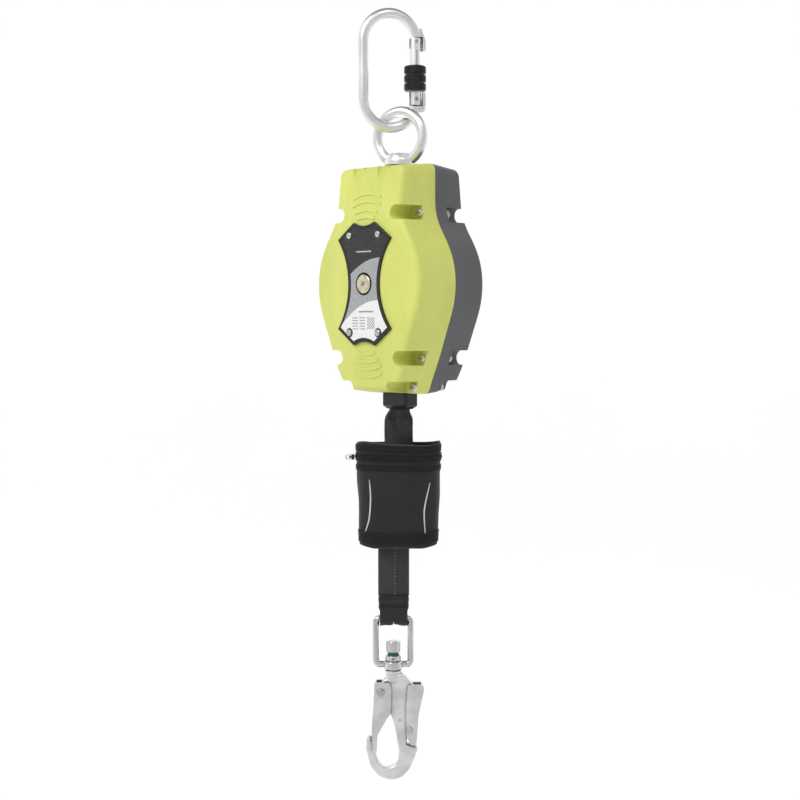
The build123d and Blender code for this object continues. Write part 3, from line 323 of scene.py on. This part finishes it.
def label_print(name):
    """The printed plate: black, silver and white fields with plain marks."""
    p = Paint(name)
    x, _, z = p.split(p.coords(0, AXLE))
    u = x * 1000
    v = z * 1000
    first = 17.9 + u * 0.41 - u * u * 0.0105
    second = -17.2 + u * 0.36 - u * u * 0.0105
    black = (v - first).step(-0.25, 0.25)
    white = (second - v).step(-0.25, 0.25)
    seam = 1 - (v - first).abs().step(0.1, 0.55)
    silver = p.mix(p.noise(p.coords(), 900, 2), (0.33, 0.33, 0.35), (0.42, 0.42, 0.44))
    tone = p.mix(seam, silver, (0.62, 0.62, 0.64))
    tone = p.mix(black, tone, (0.004, 0.004, 0.005))
    tone = p.mix(white, tone, (0.86, 0.86, 0.86))
    # plain bars and a grid of dots stand where the real one is printed
    rows = (v * 0.42).fract()
    left = (u > -14.0) * (u < -7.2) + (u > -5.0) * (u < 1.6)
    bars = (rows > 0.66) * (v < -28.4) * (v > -40.2) * left
    tone = p.mix(bars * 0.72, tone, (0.10, 0.10, 0.11))
    dots = ((u * 2.2).sin() * (v * 2.2).sin()).step(-0.1, 0.25)
    inside = (u > 4.6) * (u < 13.6) * (v > -38.6) * (v < -28.4)
    tone = p.mix(dots * inside * 0.8, tone, (0.06, 0.06, 0.06))
    stripe = (v > -24.4) * (v < -23.2) * (u > -6) * (u < 12)
    tone = p.mix(stripe * 0.8, tone, (0.10, 0.10, 0.11))
    head = (v > 27.0) * (v < 28.2) * (u > -9) * (u < 9)
    tone = p.mix(head * 0.8, tone, (0.60, 0.60, 0.60))
    side = u.abs() - 17.6
    end = v.abs() - 41.8
    collar = 1 - (side * side + end * end).root().step(3.9, 4.3)
    tone = p.mix(collar, tone, (0.006, 0.006, 0.007))
    scuff = p.noise(p.coords(), 300, 4)
    return p.set(
        Base_Color=tone,
        Roughness=0.28 + (scuff - 0.5) * 0.2,
        Normal=p.bump(scuff, 0.00002),
        Coat_Weight=0.3,
    )


STEEL = metal("polished steel", (0.95, 0.945, 0.95), 0.35, 0.12, 240, 0.00002, 0.05, painted_shade_reach=0.002)
ZINC = metal("satin zinc", (0.90, 0.90, 0.905), 0.34, 0.16, 420, 0.00005, 0.10, painted_shade_reach=0.005)
ROUND_ZINC = metal(
    "bright zinc rod", (0.74, 0.74, 0.745), 0.22, 0.12, 300, 0.00003, 0.06, painted_shade_reach=0.004
)
RIVET = metal("rivet zinc", (0.68, 0.68, 0.69), 0.36, 0.12, 500, 0.00003, 0.1, painted_shade_reach=0.003)
SCREW = metal("screw steel", (0.66, 0.65, 0.62), 0.30, 0.14, 600)
INNER = metal("bare steel", (0.50, 0.50, 0.51), 0.36, 0.16, 300)
ALLOY = metal("machined alloy", (0.72, 0.73, 0.74), 0.3, 0.12, 500)
BLUED = metal("blued spring steel", (0.22, 0.26, 0.36), 0.3, 0.1, 500)
BRONZE = metal("sintered bronze", (0.62, 0.44, 0.22), 0.42, 0.16, 300)
ANODISED = moulded("black anodising", (0.012, 0.012, 0.013), 0.30, 1800, 0.00002)
YELLOW = moulded("yellow green cover", (0.69, 0.73, 0.175), 0.44)
GREY = moulded("grey cover", (0.098, 0.098, 0.106), 0.5)
BLACK = moulded("black plastic", (0.012, 0.012, 0.013), 0.36)
GREEN = moulded("green ring", (0.02, 0.16, 0.07), 0.4)
PRINT = label_print("label print")
TURNED = turned_metal("turned axle end", (0.80, 0.74, 0.55), AXLE)
CLOTH = woven("pouch cloth", (0.0115, 0.0115, 0.0145), 0.0011, AZIMUTH, 1.7)
COIL_WEB = woven("wound webbing", (0.018, 0.018, 0.02), 0.0017, 0)
STRAP_WEB = webbing_stuff("upper webbing", (0.008, 0.008, 0.0105), 0, 0.025, 0, 0.4)
LINE_WEB = webbing_stuff("lower webbing", (0.014, 0.014, 0.017), AZIMUTH, 0.0276, -0.0056)
TAPE = woven("zip tape", (0.004, 0.004, 0.0055), 0.0009, AZIMUTH, 1.5, sheen=0.06)
THREAD = woven("stitch thread", (0.022, 0.022, 0.025), 0.0004, AZIMUTH, 1.5)
PALE_THREAD = woven("pale stitch thread", (0.14, 0.14, 0.15), 0.0004, AZIMUTH, 1.5)
LOOP_WEB = woven("loop webbing", (0.011, 0.011, 0.013), 0.0016, AZIMUTH, 1.8, 0.62, 0.0004)
PIPING = woven("pale piping", (0.74, 0.74, 0.73), 0.0007, AZIMUTH, 1.15)
BAND = moulded("shrunk band", (0.012, 0.012, 0.014), 0.24, 700, 0.0001)

FINISH = {
    "carabiner_body": STEEL,
    "gate_pivot_pin": INNER,
    "carabiner_gate": STEEL,
    "latch_pin": INNER,
    "locking_sleeve": ANODISED,
    "swivel_eye": STEEL,
    "thrust_washer": BRONZE,
    "eye_nut": INNER,
    "neck_bush": BLACK,
    "front_cover": YELLOW,
    "rear_cover": GREY,
    "cover_screws": SCREW,
    "cover_nuts": INNER,
    "label_frame": BLACK,
    "label_plate": PRINT,
    "label_screws": SCREW,
    "load_bracket": INNER,
    "drum_axle": INNER,
    "axle_end": TURNED,
    "axle_washer": INNER,
    "drum_hub": ALLOY,
    "drum_bush": BRONZE,
    "drum_flange_front": ALLOY,
    "drum_flange_rear": ALLOY,
    "webbing_coil": COIL_WEB,
    "ratchet_ring": INNER,
    "ratchet_posts": INNER,
    "pawl_carrier": INNER,
    "pawl_right": SCREW,
    "pawl_left": SCREW,
    "spring_case": BLACK,
    "case_back": BLACK,
    "power_spring": BLUED,
    "spring_arbor": INNER,
    "webbing_nozzle": BLACK,
    "guide_frame": SCREW,
    "guide_roller_front": SCREW,
    "guide_roller_rear": SCREW,
    "absorber_pack": COIL_WEB,
    "zip_slider": ANODISED,
    "zip_pull": SCREW,
    "hook_stirrup": ROUND_ZINC,
    "swivel_bolt": ROUND_ZINC,
    "indicator_ring": GREEN,
    "swivel_washer": ROUND_ZINC,
    "hook_body": ZINC,
    "hook_gate": ZINC,
    "gate_rivet": RIVET,
    "lock_lever": ZINC,
    "lever_rivet": RIVET,
    "side_pin": RIVET,
}


def finish(obj, material):
    obj.data.materials.clear()
    obj.data.materials.append(material)


for node_name, material in FINISH.items():
    finish(nodes[node_name], material)

# ------------------------------------------------------------------ mesh kit


def in_line(x, y, z):
    """Millimetres in the line's own frame, which faces 45 degrees, to metres."""
    c, s = math.cos(AZIMUTH), math.sin(AZIMUTH)
    return Vector(((x * c - y * s) * MM, (x * s + y * c) * MM, z * MM))


def new_piece(name, points, faces, material, body=None):
    mesh = bpy.data.meshes.new(name)
    mesh.from_pydata([tuple(p) for p in points], [], faces)
    mesh.validate()
    mesh.materials.append(material)
    for polygon in mesh.polygons:
        polygon.use_smooth = True
    piece = bpy.data.objects.new(name, mesh)
    bpy.context.scene.collection.objects.link(piece)
    if body:
        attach(piece, body)
    return piece


def loft(name, rings, material, body, caps=True):
    """A skin over rings of equal point counts."""
    count = len(rings[0])
    points = [p for ring in rings for p in ring]
    faces = []
    for i in range(len(rings) - 1):
        for j in range(count):
            k = (j + 1) % count
            a = i * count
            faces.append((a + j, a + k, a + count + k, a + count + j))
    if caps:
        faces.append(tuple(reversed(range(count))))
        faces.append(tuple((len(rings) - 1) * count + j for j in range(count)))
    piece = new_piece(name, points, faces, material)
    outward(piece)
    if body:
        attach(piece, body)
    return piece


def outward(piece):
    """Close the seams and turn every face outwards."""
    mesh = bmesh.new()
    mesh.from_mesh(piece.data)
    bmesh.ops.remove_doubles(mesh, verts=mesh.verts, dist=1e-7)
    bmesh.ops.recalc_face_normals(mesh, faces=mesh.faces)
    mesh.to_mesh(piece.data)
    mesh.free()


def strap_ring(width, thick, count):
    """A flat strap's section with rounded edges, front face first."""
    ring = []
    for side in (-1, 1):
        for i in range(count):
            t = side * (1 - 2 * i / (count - 1))
            ring.append((t * width / 2, side * thick / 2 * (1 - 0.75 * abs(t) ** 30)))
    return ring


# --------------------------------------------------------------- the webbing


def upper_webbing():
    """From the drum, through the outlet, turning 45 degrees to face the pouch's way."""
    rings = []
    steps = 96
    top, low = -283.0, -373.0
    start, end = -337.0, -349.0
    for i in range(steps + 1):
        z = top + (low - top) * i / steps
        t = min(1, max(0, (start - z) / (start - end)))
        t = t * t * (3 - 2 * t)
        turn = AZIMUTH * t
        # the right edge curls forward below the outlet and flattens again lower down
        q = min(1, max(0, (start - z) / 32))
        curl = math.sin(math.pi * q**0.8)
        c, s = math.cos(turn), math.sin(turn)
        ring = []
        for x, y in strap_ring(25.0, 1.8, 22):
            u = x / 12.5
            lift = y - curl * 4.2 * max(0, u - 0.1) ** 2 + curl * 2.0 * max(0, -u - 0.3) ** 2
            lift += curl * 0.7 * math.sin(u * 5 + z * 0.12)
            sway = -0.8 * curl - 1.0 * q
            across = x + sway
            ring.append(Vector(((across * c - lift * s) * MM, (across * s + lift * c) * MM, z * MM)))
        rings.append(ring)
    piece = loft("upper_webbing", rings, STRAP_WEB, "line")
    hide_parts("webbing_upper")
    return piece


LINE_X = -5.6


def lower_tube():
    """The tubular sleeve under the pouch, creased at the edges."""
    rings = []
    steps = 40
    for i in range(steps + 1):
        z = -449.0 + (-502.0 + 449.0) * i / steps
        t = i / steps
        puff = 1 + 0.10 * math.sin(t * 9.0) + 0.06 * math.sin(t * 23.0 + 1)
        ring = []
        count = 40
        for j in range(count):
            a = math.tau * j / count
            c, s = math.cos(a), math.sin(a)
            x = 13.7 * (abs(c) ** 0.55) * math.copysign(1, c)
            y = 3.2 * puff * (abs(s) ** 0.9) * math.copysign(1, s)
            ring.append(in_line(LINE_X + x, y, z))
        rings.append(ring)
    piece = loft("lower_tube", rings, LINE_WEB, "line")
    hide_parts("lower_sleeve", "lower_webbing")
    return piece


def loop_eye():
    """The webbing eye that the stirrup hangs in: two soft lobes with a slit between."""
    low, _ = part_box("webbing_loop")
    foot = low.z / MM
    bar_z = foot + 6.4
    made = []
    for side, (x0, x1) in enumerate(((-12.2, -0.3), (0.3, 12.2))):
        lean = -1 if side == 0 else 1
        path = [(-4.9, -512.6 + (bar_z + 512.6) * i / 12) for i in range(12)]
        path += [
            (-4.9 * math.cos(math.pi * i / 26), bar_z - 4.9 * math.sin(math.pi * i / 26))
            for i in range(27)
        ]
        path += [(4.9, bar_z + (-512.6 - bar_z) * i / 12) for i in range(1, 13)]
        rings = []
        for i, (y, z) in enumerate(path):
            a = path[max(0, i - 1)]
            b = path[min(len(path) - 1, i + 1)]
            d = Vector((b[0] - a[0], b[1] - a[1])).normalized()
            n = Vector((d.y, -d.x))
            ring = []
            for j in range(28):
                t = math.tau * j / 28
                f = math.copysign(abs(math.cos(t)) ** 0.5, math.cos(t))
                px = (x0 + x1) / 2 + (x1 - x0) / 2 * f
                h = 1.35 * math.copysign(abs(math.sin(t)) ** 0.6, math.sin(t))
                down = max(0.0, (bar_z + 2 - z) / 8)
                # above the bar the lobes press into each other, so the slit is shut
                px -= lean * 0.75 * max(0.0, -f * lean) ** 3 * (1 - min(1.0, down))
                # the outer corner of each lobe hangs lower than its slit side
                sag = down * (0.55 * f * lean + 0.25 * math.sin(f * 4 + side))
                crease = 0.22 * math.sin(z * 1.7 + px * 0.5 + side)
                out = h + crease
                ring.append(in_line(LINE_X + px, y + n.x * out, z + n.y * out - sag))
            rings.append(ring)
        made.append(loft("webbing_eye_%d" % side, rings, LOOP_WEB, "line"))
    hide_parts("webbing_loop")
    return made


def shrunk_band():
    """The tight band round the strap's foot: two soft ridges and puckers."""
    rings = []
    steps = 34
    for i in range(steps + 1):
        t = i / steps
        z = -501.6 - 13.4 * t
        swell = 0.55 * math.exp(-(((t - 0.30) / 0.13) ** 2))
        swell += 0.45 * math.exp(-(((t - 0.78) / 0.12) ** 2))
        tuck = 0.5 * (t**3)
        ring = []
        for j in range(56):
            a = math.tau * j / 56
            c, s = math.cos(a), math.sin(a)
            pucker = 0.13 * math.sin(a * 11 + t * 3) * math.sin(math.pi * t)
            x = (13.3 + swell * 0.7 - tuck + pucker) * math.copysign(abs(c) ** 0.42, c)
            y = (4.15 + swell * 0.75 - tuck * 0.4 + pucker) * math.copysign(abs(s) ** 0.62, s)
            ring.append(in_line(LINE_X + x, y, z))
        rings.append(ring)
    piece = loft("strap_band", rings, BAND, "line")
    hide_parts("sleeve_band")
    return piece


# ------------------------------------------------------------------ the pouch

POUCH_X = -1.4
POUCH_TOP, POUCH_LOW = -366.5, -459.0
ZIP_Z = -379.5
SWELL_FRAMES = 20
MOST_SWELL = 3.2


def pouch_half(z):
    """Half width and half depth of the pouch at a height."""
    t = (POUCH_TOP - z) / (POUCH_TOP - POUCH_LOW)
    wide = 37.4 - 3.2 * t
    deep = 14.0 + 4.4 * math.sin(math.pi * min(1, max(0, t)) ** 0.8) - 3.4 * t
    return wide, deep


def pouch_point(a, z, grow=0.0):
    """Across and depth of the bag's outline at an angle, let out by grow."""
    wide, deep = pouch_half(z)
    c, s = math.cos(a), math.sin(a)
    x = (wide + grow) * math.copysign(abs(c) ** 0.62, c)
    y = (deep + grow) * math.copysign(abs(s) ** 0.72, s)
    return x, y


def make_pouch():
    """A soft bag: an open rim folded in at the top, sides that sag, a pinched foot."""
    count = 132
    heights = [POUCH_TOP - (POUCH_TOP - POUCH_LOW) * i / 60 for i in range(61)]
    rings = []
    # inside the rim, then over it and down the outside, then under
    for depth, inset in ((9.0, 5.2), (6.0, 3.0), (3.0, 2.2), (0.8, 1.7)):
        rings.append((POUCH_TOP - depth, -inset))
    rings.append((POUCH_TOP + 0.5, -0.9))
    rings += [(z, 0.0) for z in heights[1:]]
    rings.append((POUCH_LOW - 0.6, -1.6))
    made = []
    for z, grow in rings:
        ring = []
        for j in range(count):
            a = math.tau * j / count
            x, y = pouch_point(a, z, grow)
            rim = max(0.0, 1 - (POUCH_TOP - z) / 9.0)
            rim = min(1.0, rim)
            lift = rim * (1.1 * math.sin(a * 2 + 0.6) + 0.8 * math.sin(a * 3 + 2.0) - 1.0)
            foot = max(0.0, 1 - (z - POUCH_LOW) / 16.0)
            lift += foot**1.5 * (3.4 * abs(math.cos(a)) ** 5 + 0.25 * math.sin(a * 7))
            ring.append(in_line(POUCH_X + x, y, z + lift))
        made.append(ring)
    piece = loft("absorber_bag", made, CLOTH, None)
    return piece


def relax(piece):
    """Fill the bag with air for a moment, so its faces swell between the seams."""
    start = [v.co.copy() for v in piece.data.vertices]
    bpy.context.view_layer.objects.active = piece
    group = piece.vertex_groups.new(name="held")
    for v in piece.data.vertices:
        z = v.co.z / MM
        hold = 0.0
        if z > -372.0 or z < -456.0:
            hold = 1.0
        elif abs(z + 384.0) < 6.5:
            hold = 0.65
        elif abs(z + 446.7) < 1.2:
            hold = 0.5
        group.add([v.index], hold, "REPLACE")
    cloth = piece.modifiers.new("Cloth", "CLOTH")
    s = cloth.settings
    s.quality = 5
    s.mass = 0.3
    s.tension_stiffness = s.compression_stiffness = 12
    s.bending_stiffness = 0.6
    s.use_pressure = True
    s.uniform_pressure_force = 3.0
    s.effector_weights.gravity = 0
    s.vertex_group_mass = "held"
    scene = bpy.context.scene
    cloth.point_cache.frame_start = 1
    cloth.point_cache.frame_end = SWELL_FRAMES
    for n in range(1, SWELL_FRAMES + 1):
        scene.frame_set(n)
    got = piece.evaluated_get(bpy.context.evaluated_depsgraph_get())
    moved = [v.co.copy() for v in got.data.vertices]
    piece.modifiers.remove(cloth)
    scene.frame_set(1)
    cap = MOST_SWELL * MM
    for v, a, b in zip(piece.data.vertices, start, moved):
        d = b - a
        if d.length > cap:
            d = d * (cap / d.length)
        v.co = a + d


def wrinkle(piece):
    """Soft noise creases and small dents over the bag's sides, fading towards the top and foot."""
    for v in piece.data.vertices:
        z = v.co.z / MM
        p = v.co * 1000
        t = (POUCH_TOP - z) / (POUCH_TOP - POUCH_LOW)
        soft = math.sin(math.pi * min(1, max(0, t)))
        n = noise.noise(Vector((p.x * 0.05, p.y * 0.05, p.z * 0.035))) * 1.1
        n += noise.noise(Vector((p.x * 0.13, p.y * 0.13, p.z * 0.05 + 7))) * 0.5
        out = Vector((v.normal.x, v.normal.y, 0))
        v.co += out * (n * soft * MM * 0.9)


def tree_of(piece):
    """The piece's skin, ready to be hit by rays."""
    mesh = piece.data
    points = [v.co for v in mesh.vertices]
    return BVHTree.FromPolygons(points, [p.vertices[:] for p in mesh.polygons])


def on_bag(tree, a, z, lift):
    """The bag's surface at an angle and height, stood off by lift."""
    x, y = pouch_point(a, z, 30.0)
    start = in_line(POUCH_X + x, y, z)
    aim = in_line(POUCH_X + x * 0.15, 0, z)
    hit, normal, _, _ = tree.ray_cast(start, (aim - start).normalized())
    if hit is None:
        x, y = pouch_point(a, z)
        return in_line(POUCH_X + x, y, z), Vector((0, 0, 1))
    flat = Vector((start.x - aim.x, start.y - aim.y, 0)).normalized()
    if normal.dot(flat) < 0:
        normal = -normal
    return hit + normal * (lift * MM), normal


def front_of_bag(tree, x, z, lift):
    """The bag's front at a place across and a height, stood off by lift."""
    start = in_line(x, -60, z)
    hit, normal, _, _ = tree.ray_cast(start, (in_line(x, 0, z) - start).normalized())
    if normal.dot(start - hit) < 0:
        normal = -normal
    return hit + normal * (lift * MM), normal


def bag_band(name, tree, z_mid, height, thick, material, wave=0.0, foot=0.0):
    """A tape laid round the bag, its edges sunk into the cloth."""
    count = 150
    section = [(0.5, -0.3), (0.5, thick * 0.8), (0.38, thick)]
    section += [(-dz, lift) for dz, lift in reversed(section)]
    rings = []
    for j in range(count + 1):
        a = math.tau * j / count
        z = z_mid + wave * math.sin(a * 2 + 0.6) + foot * abs(math.cos(a)) ** 5
        ring = []
        for dz, lift in section:
            p, _ = on_bag(tree, a, z + dz * height, lift)
            ring.append(p)
        rings.append(ring)
    return loft(name, rings, material, "line", caps=False)


# -------------------------------------------------------- repeated small parts


def row_tree(material, name):
    """Blocks along a curve: Pitch apart, Size each, realised and given a material."""
    tree = bpy.data.node_groups.new(name, "GeometryNodeTree")
    face = tree.interface
    face.new_socket("Geometry", in_out="INPUT", socket_type="NodeSocketGeometry")
    pitch = face.new_socket("Pitch", in_out="INPUT", socket_type="NodeSocketFloat")
    size = face.new_socket("Size", in_out="INPUT", socket_type="NodeSocketVector")
    face.new_socket("Geometry", in_out="OUTPUT", socket_type="NodeSocketGeometry")
    add = tree.nodes.new
    link = tree.links.new
    entry = add("NodeGroupInput")
    spread = add("GeometryNodeCurveToPoints")
    spread.mode = "LENGTH"
    cube = add("GeometryNodeMeshCube")
    for axis in ("Vertices X", "Vertices Y", "Vertices Z"):
        cube.inputs[axis].default_value = 3
    place = add("GeometryNodeInstanceOnPoints")
    real = add("GeometryNodeRealizeInstances")
    paint = add("GeometryNodeSetMaterial")
    paint.inputs["Material"].default_value = material
    leave = add("NodeGroupOutput")
    link(entry.outputs["Geometry"], spread.inputs["Curve"])
    link(entry.outputs["Pitch"], spread.inputs["Length"])
    link(entry.outputs["Size"], cube.inputs["Size"])
    link(spread.outputs["Points"], place.inputs["Points"])
    link(spread.outputs["Rotation"], place.inputs["Rotation"])
    link(cube.outputs["Mesh"], place.inputs["Instance"])
    link(place.outputs["Instances"], real.inputs["Geometry"])
    link(real.outputs["Geometry"], paint.inputs["Geometry"])
    link(paint.outputs["Geometry"], leave.inputs["Geometry"])
    return tree, pitch.identifier, size.identifier


def row(name, paths, pitch, size, material, body, cyclic=False, twist="MINIMUM"):
    """Small blocks along each path of points, as one plain mesh."""
    curve = bpy.data.curves.new(name, "CURVE")
    curve.dimensions = "3D"
    curve.twist_mode = twist
    for path in paths:
        spline = curve.splines.new("POLY")
        spline.points.add(len(path) - 1)
        for point, at in zip(spline.points, path):
            point.co = (*at, 1)
        spline.use_cyclic_u = cyclic
    rough = bpy.data.objects.new(name + "_path", curve)
    bpy.context.scene.collection.objects.link(rough)
    tree, pitch_id, size_id = row_tree(material, name)
    modifier = rough.modifiers.new("row", "NODES")
    modifier.node_group = tree
    modifier[pitch_id] = pitch * MM
    modifier[size_id] = tuple(v * MM for v in size)
    rough.data.update_tag()
    depsgraph = bpy.context.evaluated_depsgraph_get()
    depsgraph.update()
    mesh = bpy.data.meshes.new_from_object(rough.evaluated_get(depsgraph), depsgraph=depsgraph)
    mesh.name = name
    bpy.data.objects.remove(rough)
    piece = bpy.data.objects.new(name, mesh)
    bpy.context.scene.collection.objects.link(piece)
    if not mesh.materials:
        mesh.materials.append(material)
    for polygon in mesh.polygons:
        polygon.use_smooth = False
    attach(piece, body)
    return piece


upper_webbing()
lower_tube()
loop_eye()
shrunk_band()
bag = make_pouch()
relax(bag)
wrinkle(bag)
outward(bag)
bag_tree = tree_of(bag)
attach(bag, "line")
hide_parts("absorber_pouch")

tape_up = bag_band("zip_band_upper", bag_tree, ZIP_Z, 5.6, 0.9, TAPE, wave=0.5)
tape_low = bag_band("zip_band_lower", bag_tree, -388.5, 4.6, 0.8, TAPE, wave=0.5)
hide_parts("zip_tape_upper")
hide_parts("zip_tape_lower")
bag_band("bag_hem", bag_tree, -451.4, 10.4, 0.7, TAPE, foot=3.0)
bag_band("bag_rim", bag_tree, -371.7, 5.6, 0.55, TAPE, wave=0.8)


def bag_path(z, lift, wave=0.0, foot=0.0):
    """A closed line round the bag at a height, stood off by lift."""
    count = 180
    path = []
    for j in range(count):
        a = math.tau * j / count
        rise = wave * math.sin(a * 2 + 0.6) + foot * abs(math.cos(a)) ** 5
        path.append(on_bag(bag_tree, a, z + rise, lift)[0])
    return path


row("zip_teeth", [bag_path(ZIP_Z, 1.15, 0.5)], 1.5, (0.7, 1.9, 0.8), BLACK, "line", True, "Z_UP")
row(
    "bag_stitches",
    [
        bag_path(-376.3, 0.6, 0.5),
        bag_path(-382.9, 0.6, 0.5),
        bag_path(-447.2, 0.8, 0, 3.0),
        bag_path(-455.4, 0.8, 0, 3.0),
    ],
    3.0,
    (0.35, 0.35, 2.0),
    THREAD,
    "line",
    True,
    "Z_UP",
)


def piping(name, marks, width):
    """A pale tapered line sewn on the bag's front."""
    rings = []
    count = 40
    for i in range(count + 1):
        t = i / count * (len(marks) - 1)
        k = min(int(t), len(marks) - 2)
        f = t - k
        before = marks[max(0, k - 1)]
        a, b = marks[k], marks[k + 1]
        after = marks[min(len(marks) - 1, k + 2)]

        def soft(n):
            p0, p1, p2, p3 = before[n], a[n], b[n], after[n]
            return 0.5 * (
                2 * p1
                + (p2 - p0) * f
                + (2 * p0 - 5 * p1 + 4 * p2 - p3) * f * f
                + (3 * p1 - p0 - 3 * p2 + p3) * f**3
            )

        x, z = soft(0), soft(1)
        half = width / 2 * (0.25 + 0.75 * math.sin(math.pi * i / count) ** 0.7)
        ring = []
        for dx, lift in ((-1, -0.2), (-0.8, 0.45), (0.8, 0.45), (1, -0.2)):
            ring.append(front_of_bag(bag_tree, x + dx * half, z, lift)[0])
        rings.append(ring)
    return loft(name, rings, PIPING, "line")


piping("piping_left", ((-26.7, -398.5), (-25.6, -415.1), (-26.9, -433.1), (-30.2, -444.5)), 1.3)
piping("piping_right", ((26.1, -401.5), (22.0, -420.0), (21.1, -431.0), (22.4, -451.0)), 1.3)

row(
    "sleeve_stitches",
    [[in_line(LINE_X + 1.2, -3.6, -461.0 - 39.0 * i / 30) for i in range(31)]],
    2.9,
    (0.8, 0.5, 1.5),
    PALE_THREAD,
    "line",
)

# ------------------------------------------------------------------- the knurl


def knurl():
    """Fine upright ribs on the three bands of the locking sleeve."""
    low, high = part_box("locking_sleeve")
    centre = (low + high) / 2
    radius = (high.x - low.x) / 2
    paths = []
    for z0, z1 in ((-58.6, -53.6), (-51.6, -46.4), (-44.4, -39.1)):
        mid = (z0 + z1) / 2 * MM
        ring = []
        for j in range(96):
            a = math.tau * j / 96
            ring.append((centre.x + radius * math.cos(a), centre.y + radius * math.sin(a), mid))
        paths.append(ring)
    circle = math.tau * radius / MM
    rib = (0.6, 5.0, 0.55)
    return row("sleeve_knurl", paths, circle / 58, rib, ANODISED, "locking_sleeve", True, "Z_UP")


knurl()

# ------------------------------------------------------------------ the floor

FLOOR_Z = -0.95
COVE_FLAT, COVE_BEND, COVE_TOP = 2.4, 1.0, 3.0
GLOW = 0.46


def make_floor():
    """A pale round cove: the floor sweeps up into a wall on every side."""
    profile = [(r, FLOOR_Z) for r in (0.02, 0.6, 1.2, 1.8, COVE_FLAT)]
    for i in range(1, 13):
        a = math.pi / 2 * i / 12
        rise = COVE_BEND * (1 - math.cos(a))
        profile.append((COVE_FLAT + COVE_BEND * math.sin(a), FLOOR_Z + rise))
    profile.append((COVE_FLAT + COVE_BEND, COVE_TOP))
    count = 96
    points, faces = [], []
    for r, z in profile:
        for j in range(count):
            a = math.tau * j / count
            points.append((r * math.cos(a), r * math.sin(a), z))
    for i in range(len(profile) - 1):
        for j in range(count):
            k = (j + 1) % count
            a = i * count
            faces.append((a + j, a + k, a + count + k, a + count + j))
    faces.append(tuple(reversed(range(count))))
    p = Paint("pale cove")
    grain = p.noise(p.coords(), 3.0, 3)
    tone = p.mix(grain, (0.70, 0.70, 0.70), (0.73, 0.73, 0.73))
    # painted light: the far side glows and the near side doesn't, as with a lit backdrop
    _, away, _ = p.split(p.coords(AZIMUTH))
    glow = p.mix(away.step(-1.6, 0.7), (0.14, 0.14, 0.14), (1, 1, 1))
    stuff = p.set(Base_Color=tone, Roughness=0.9, Emission_Color=glow, Emission_Strength=GLOW)
    floor = new_piece("studio_floor", points, faces, stuff)


make_floor()
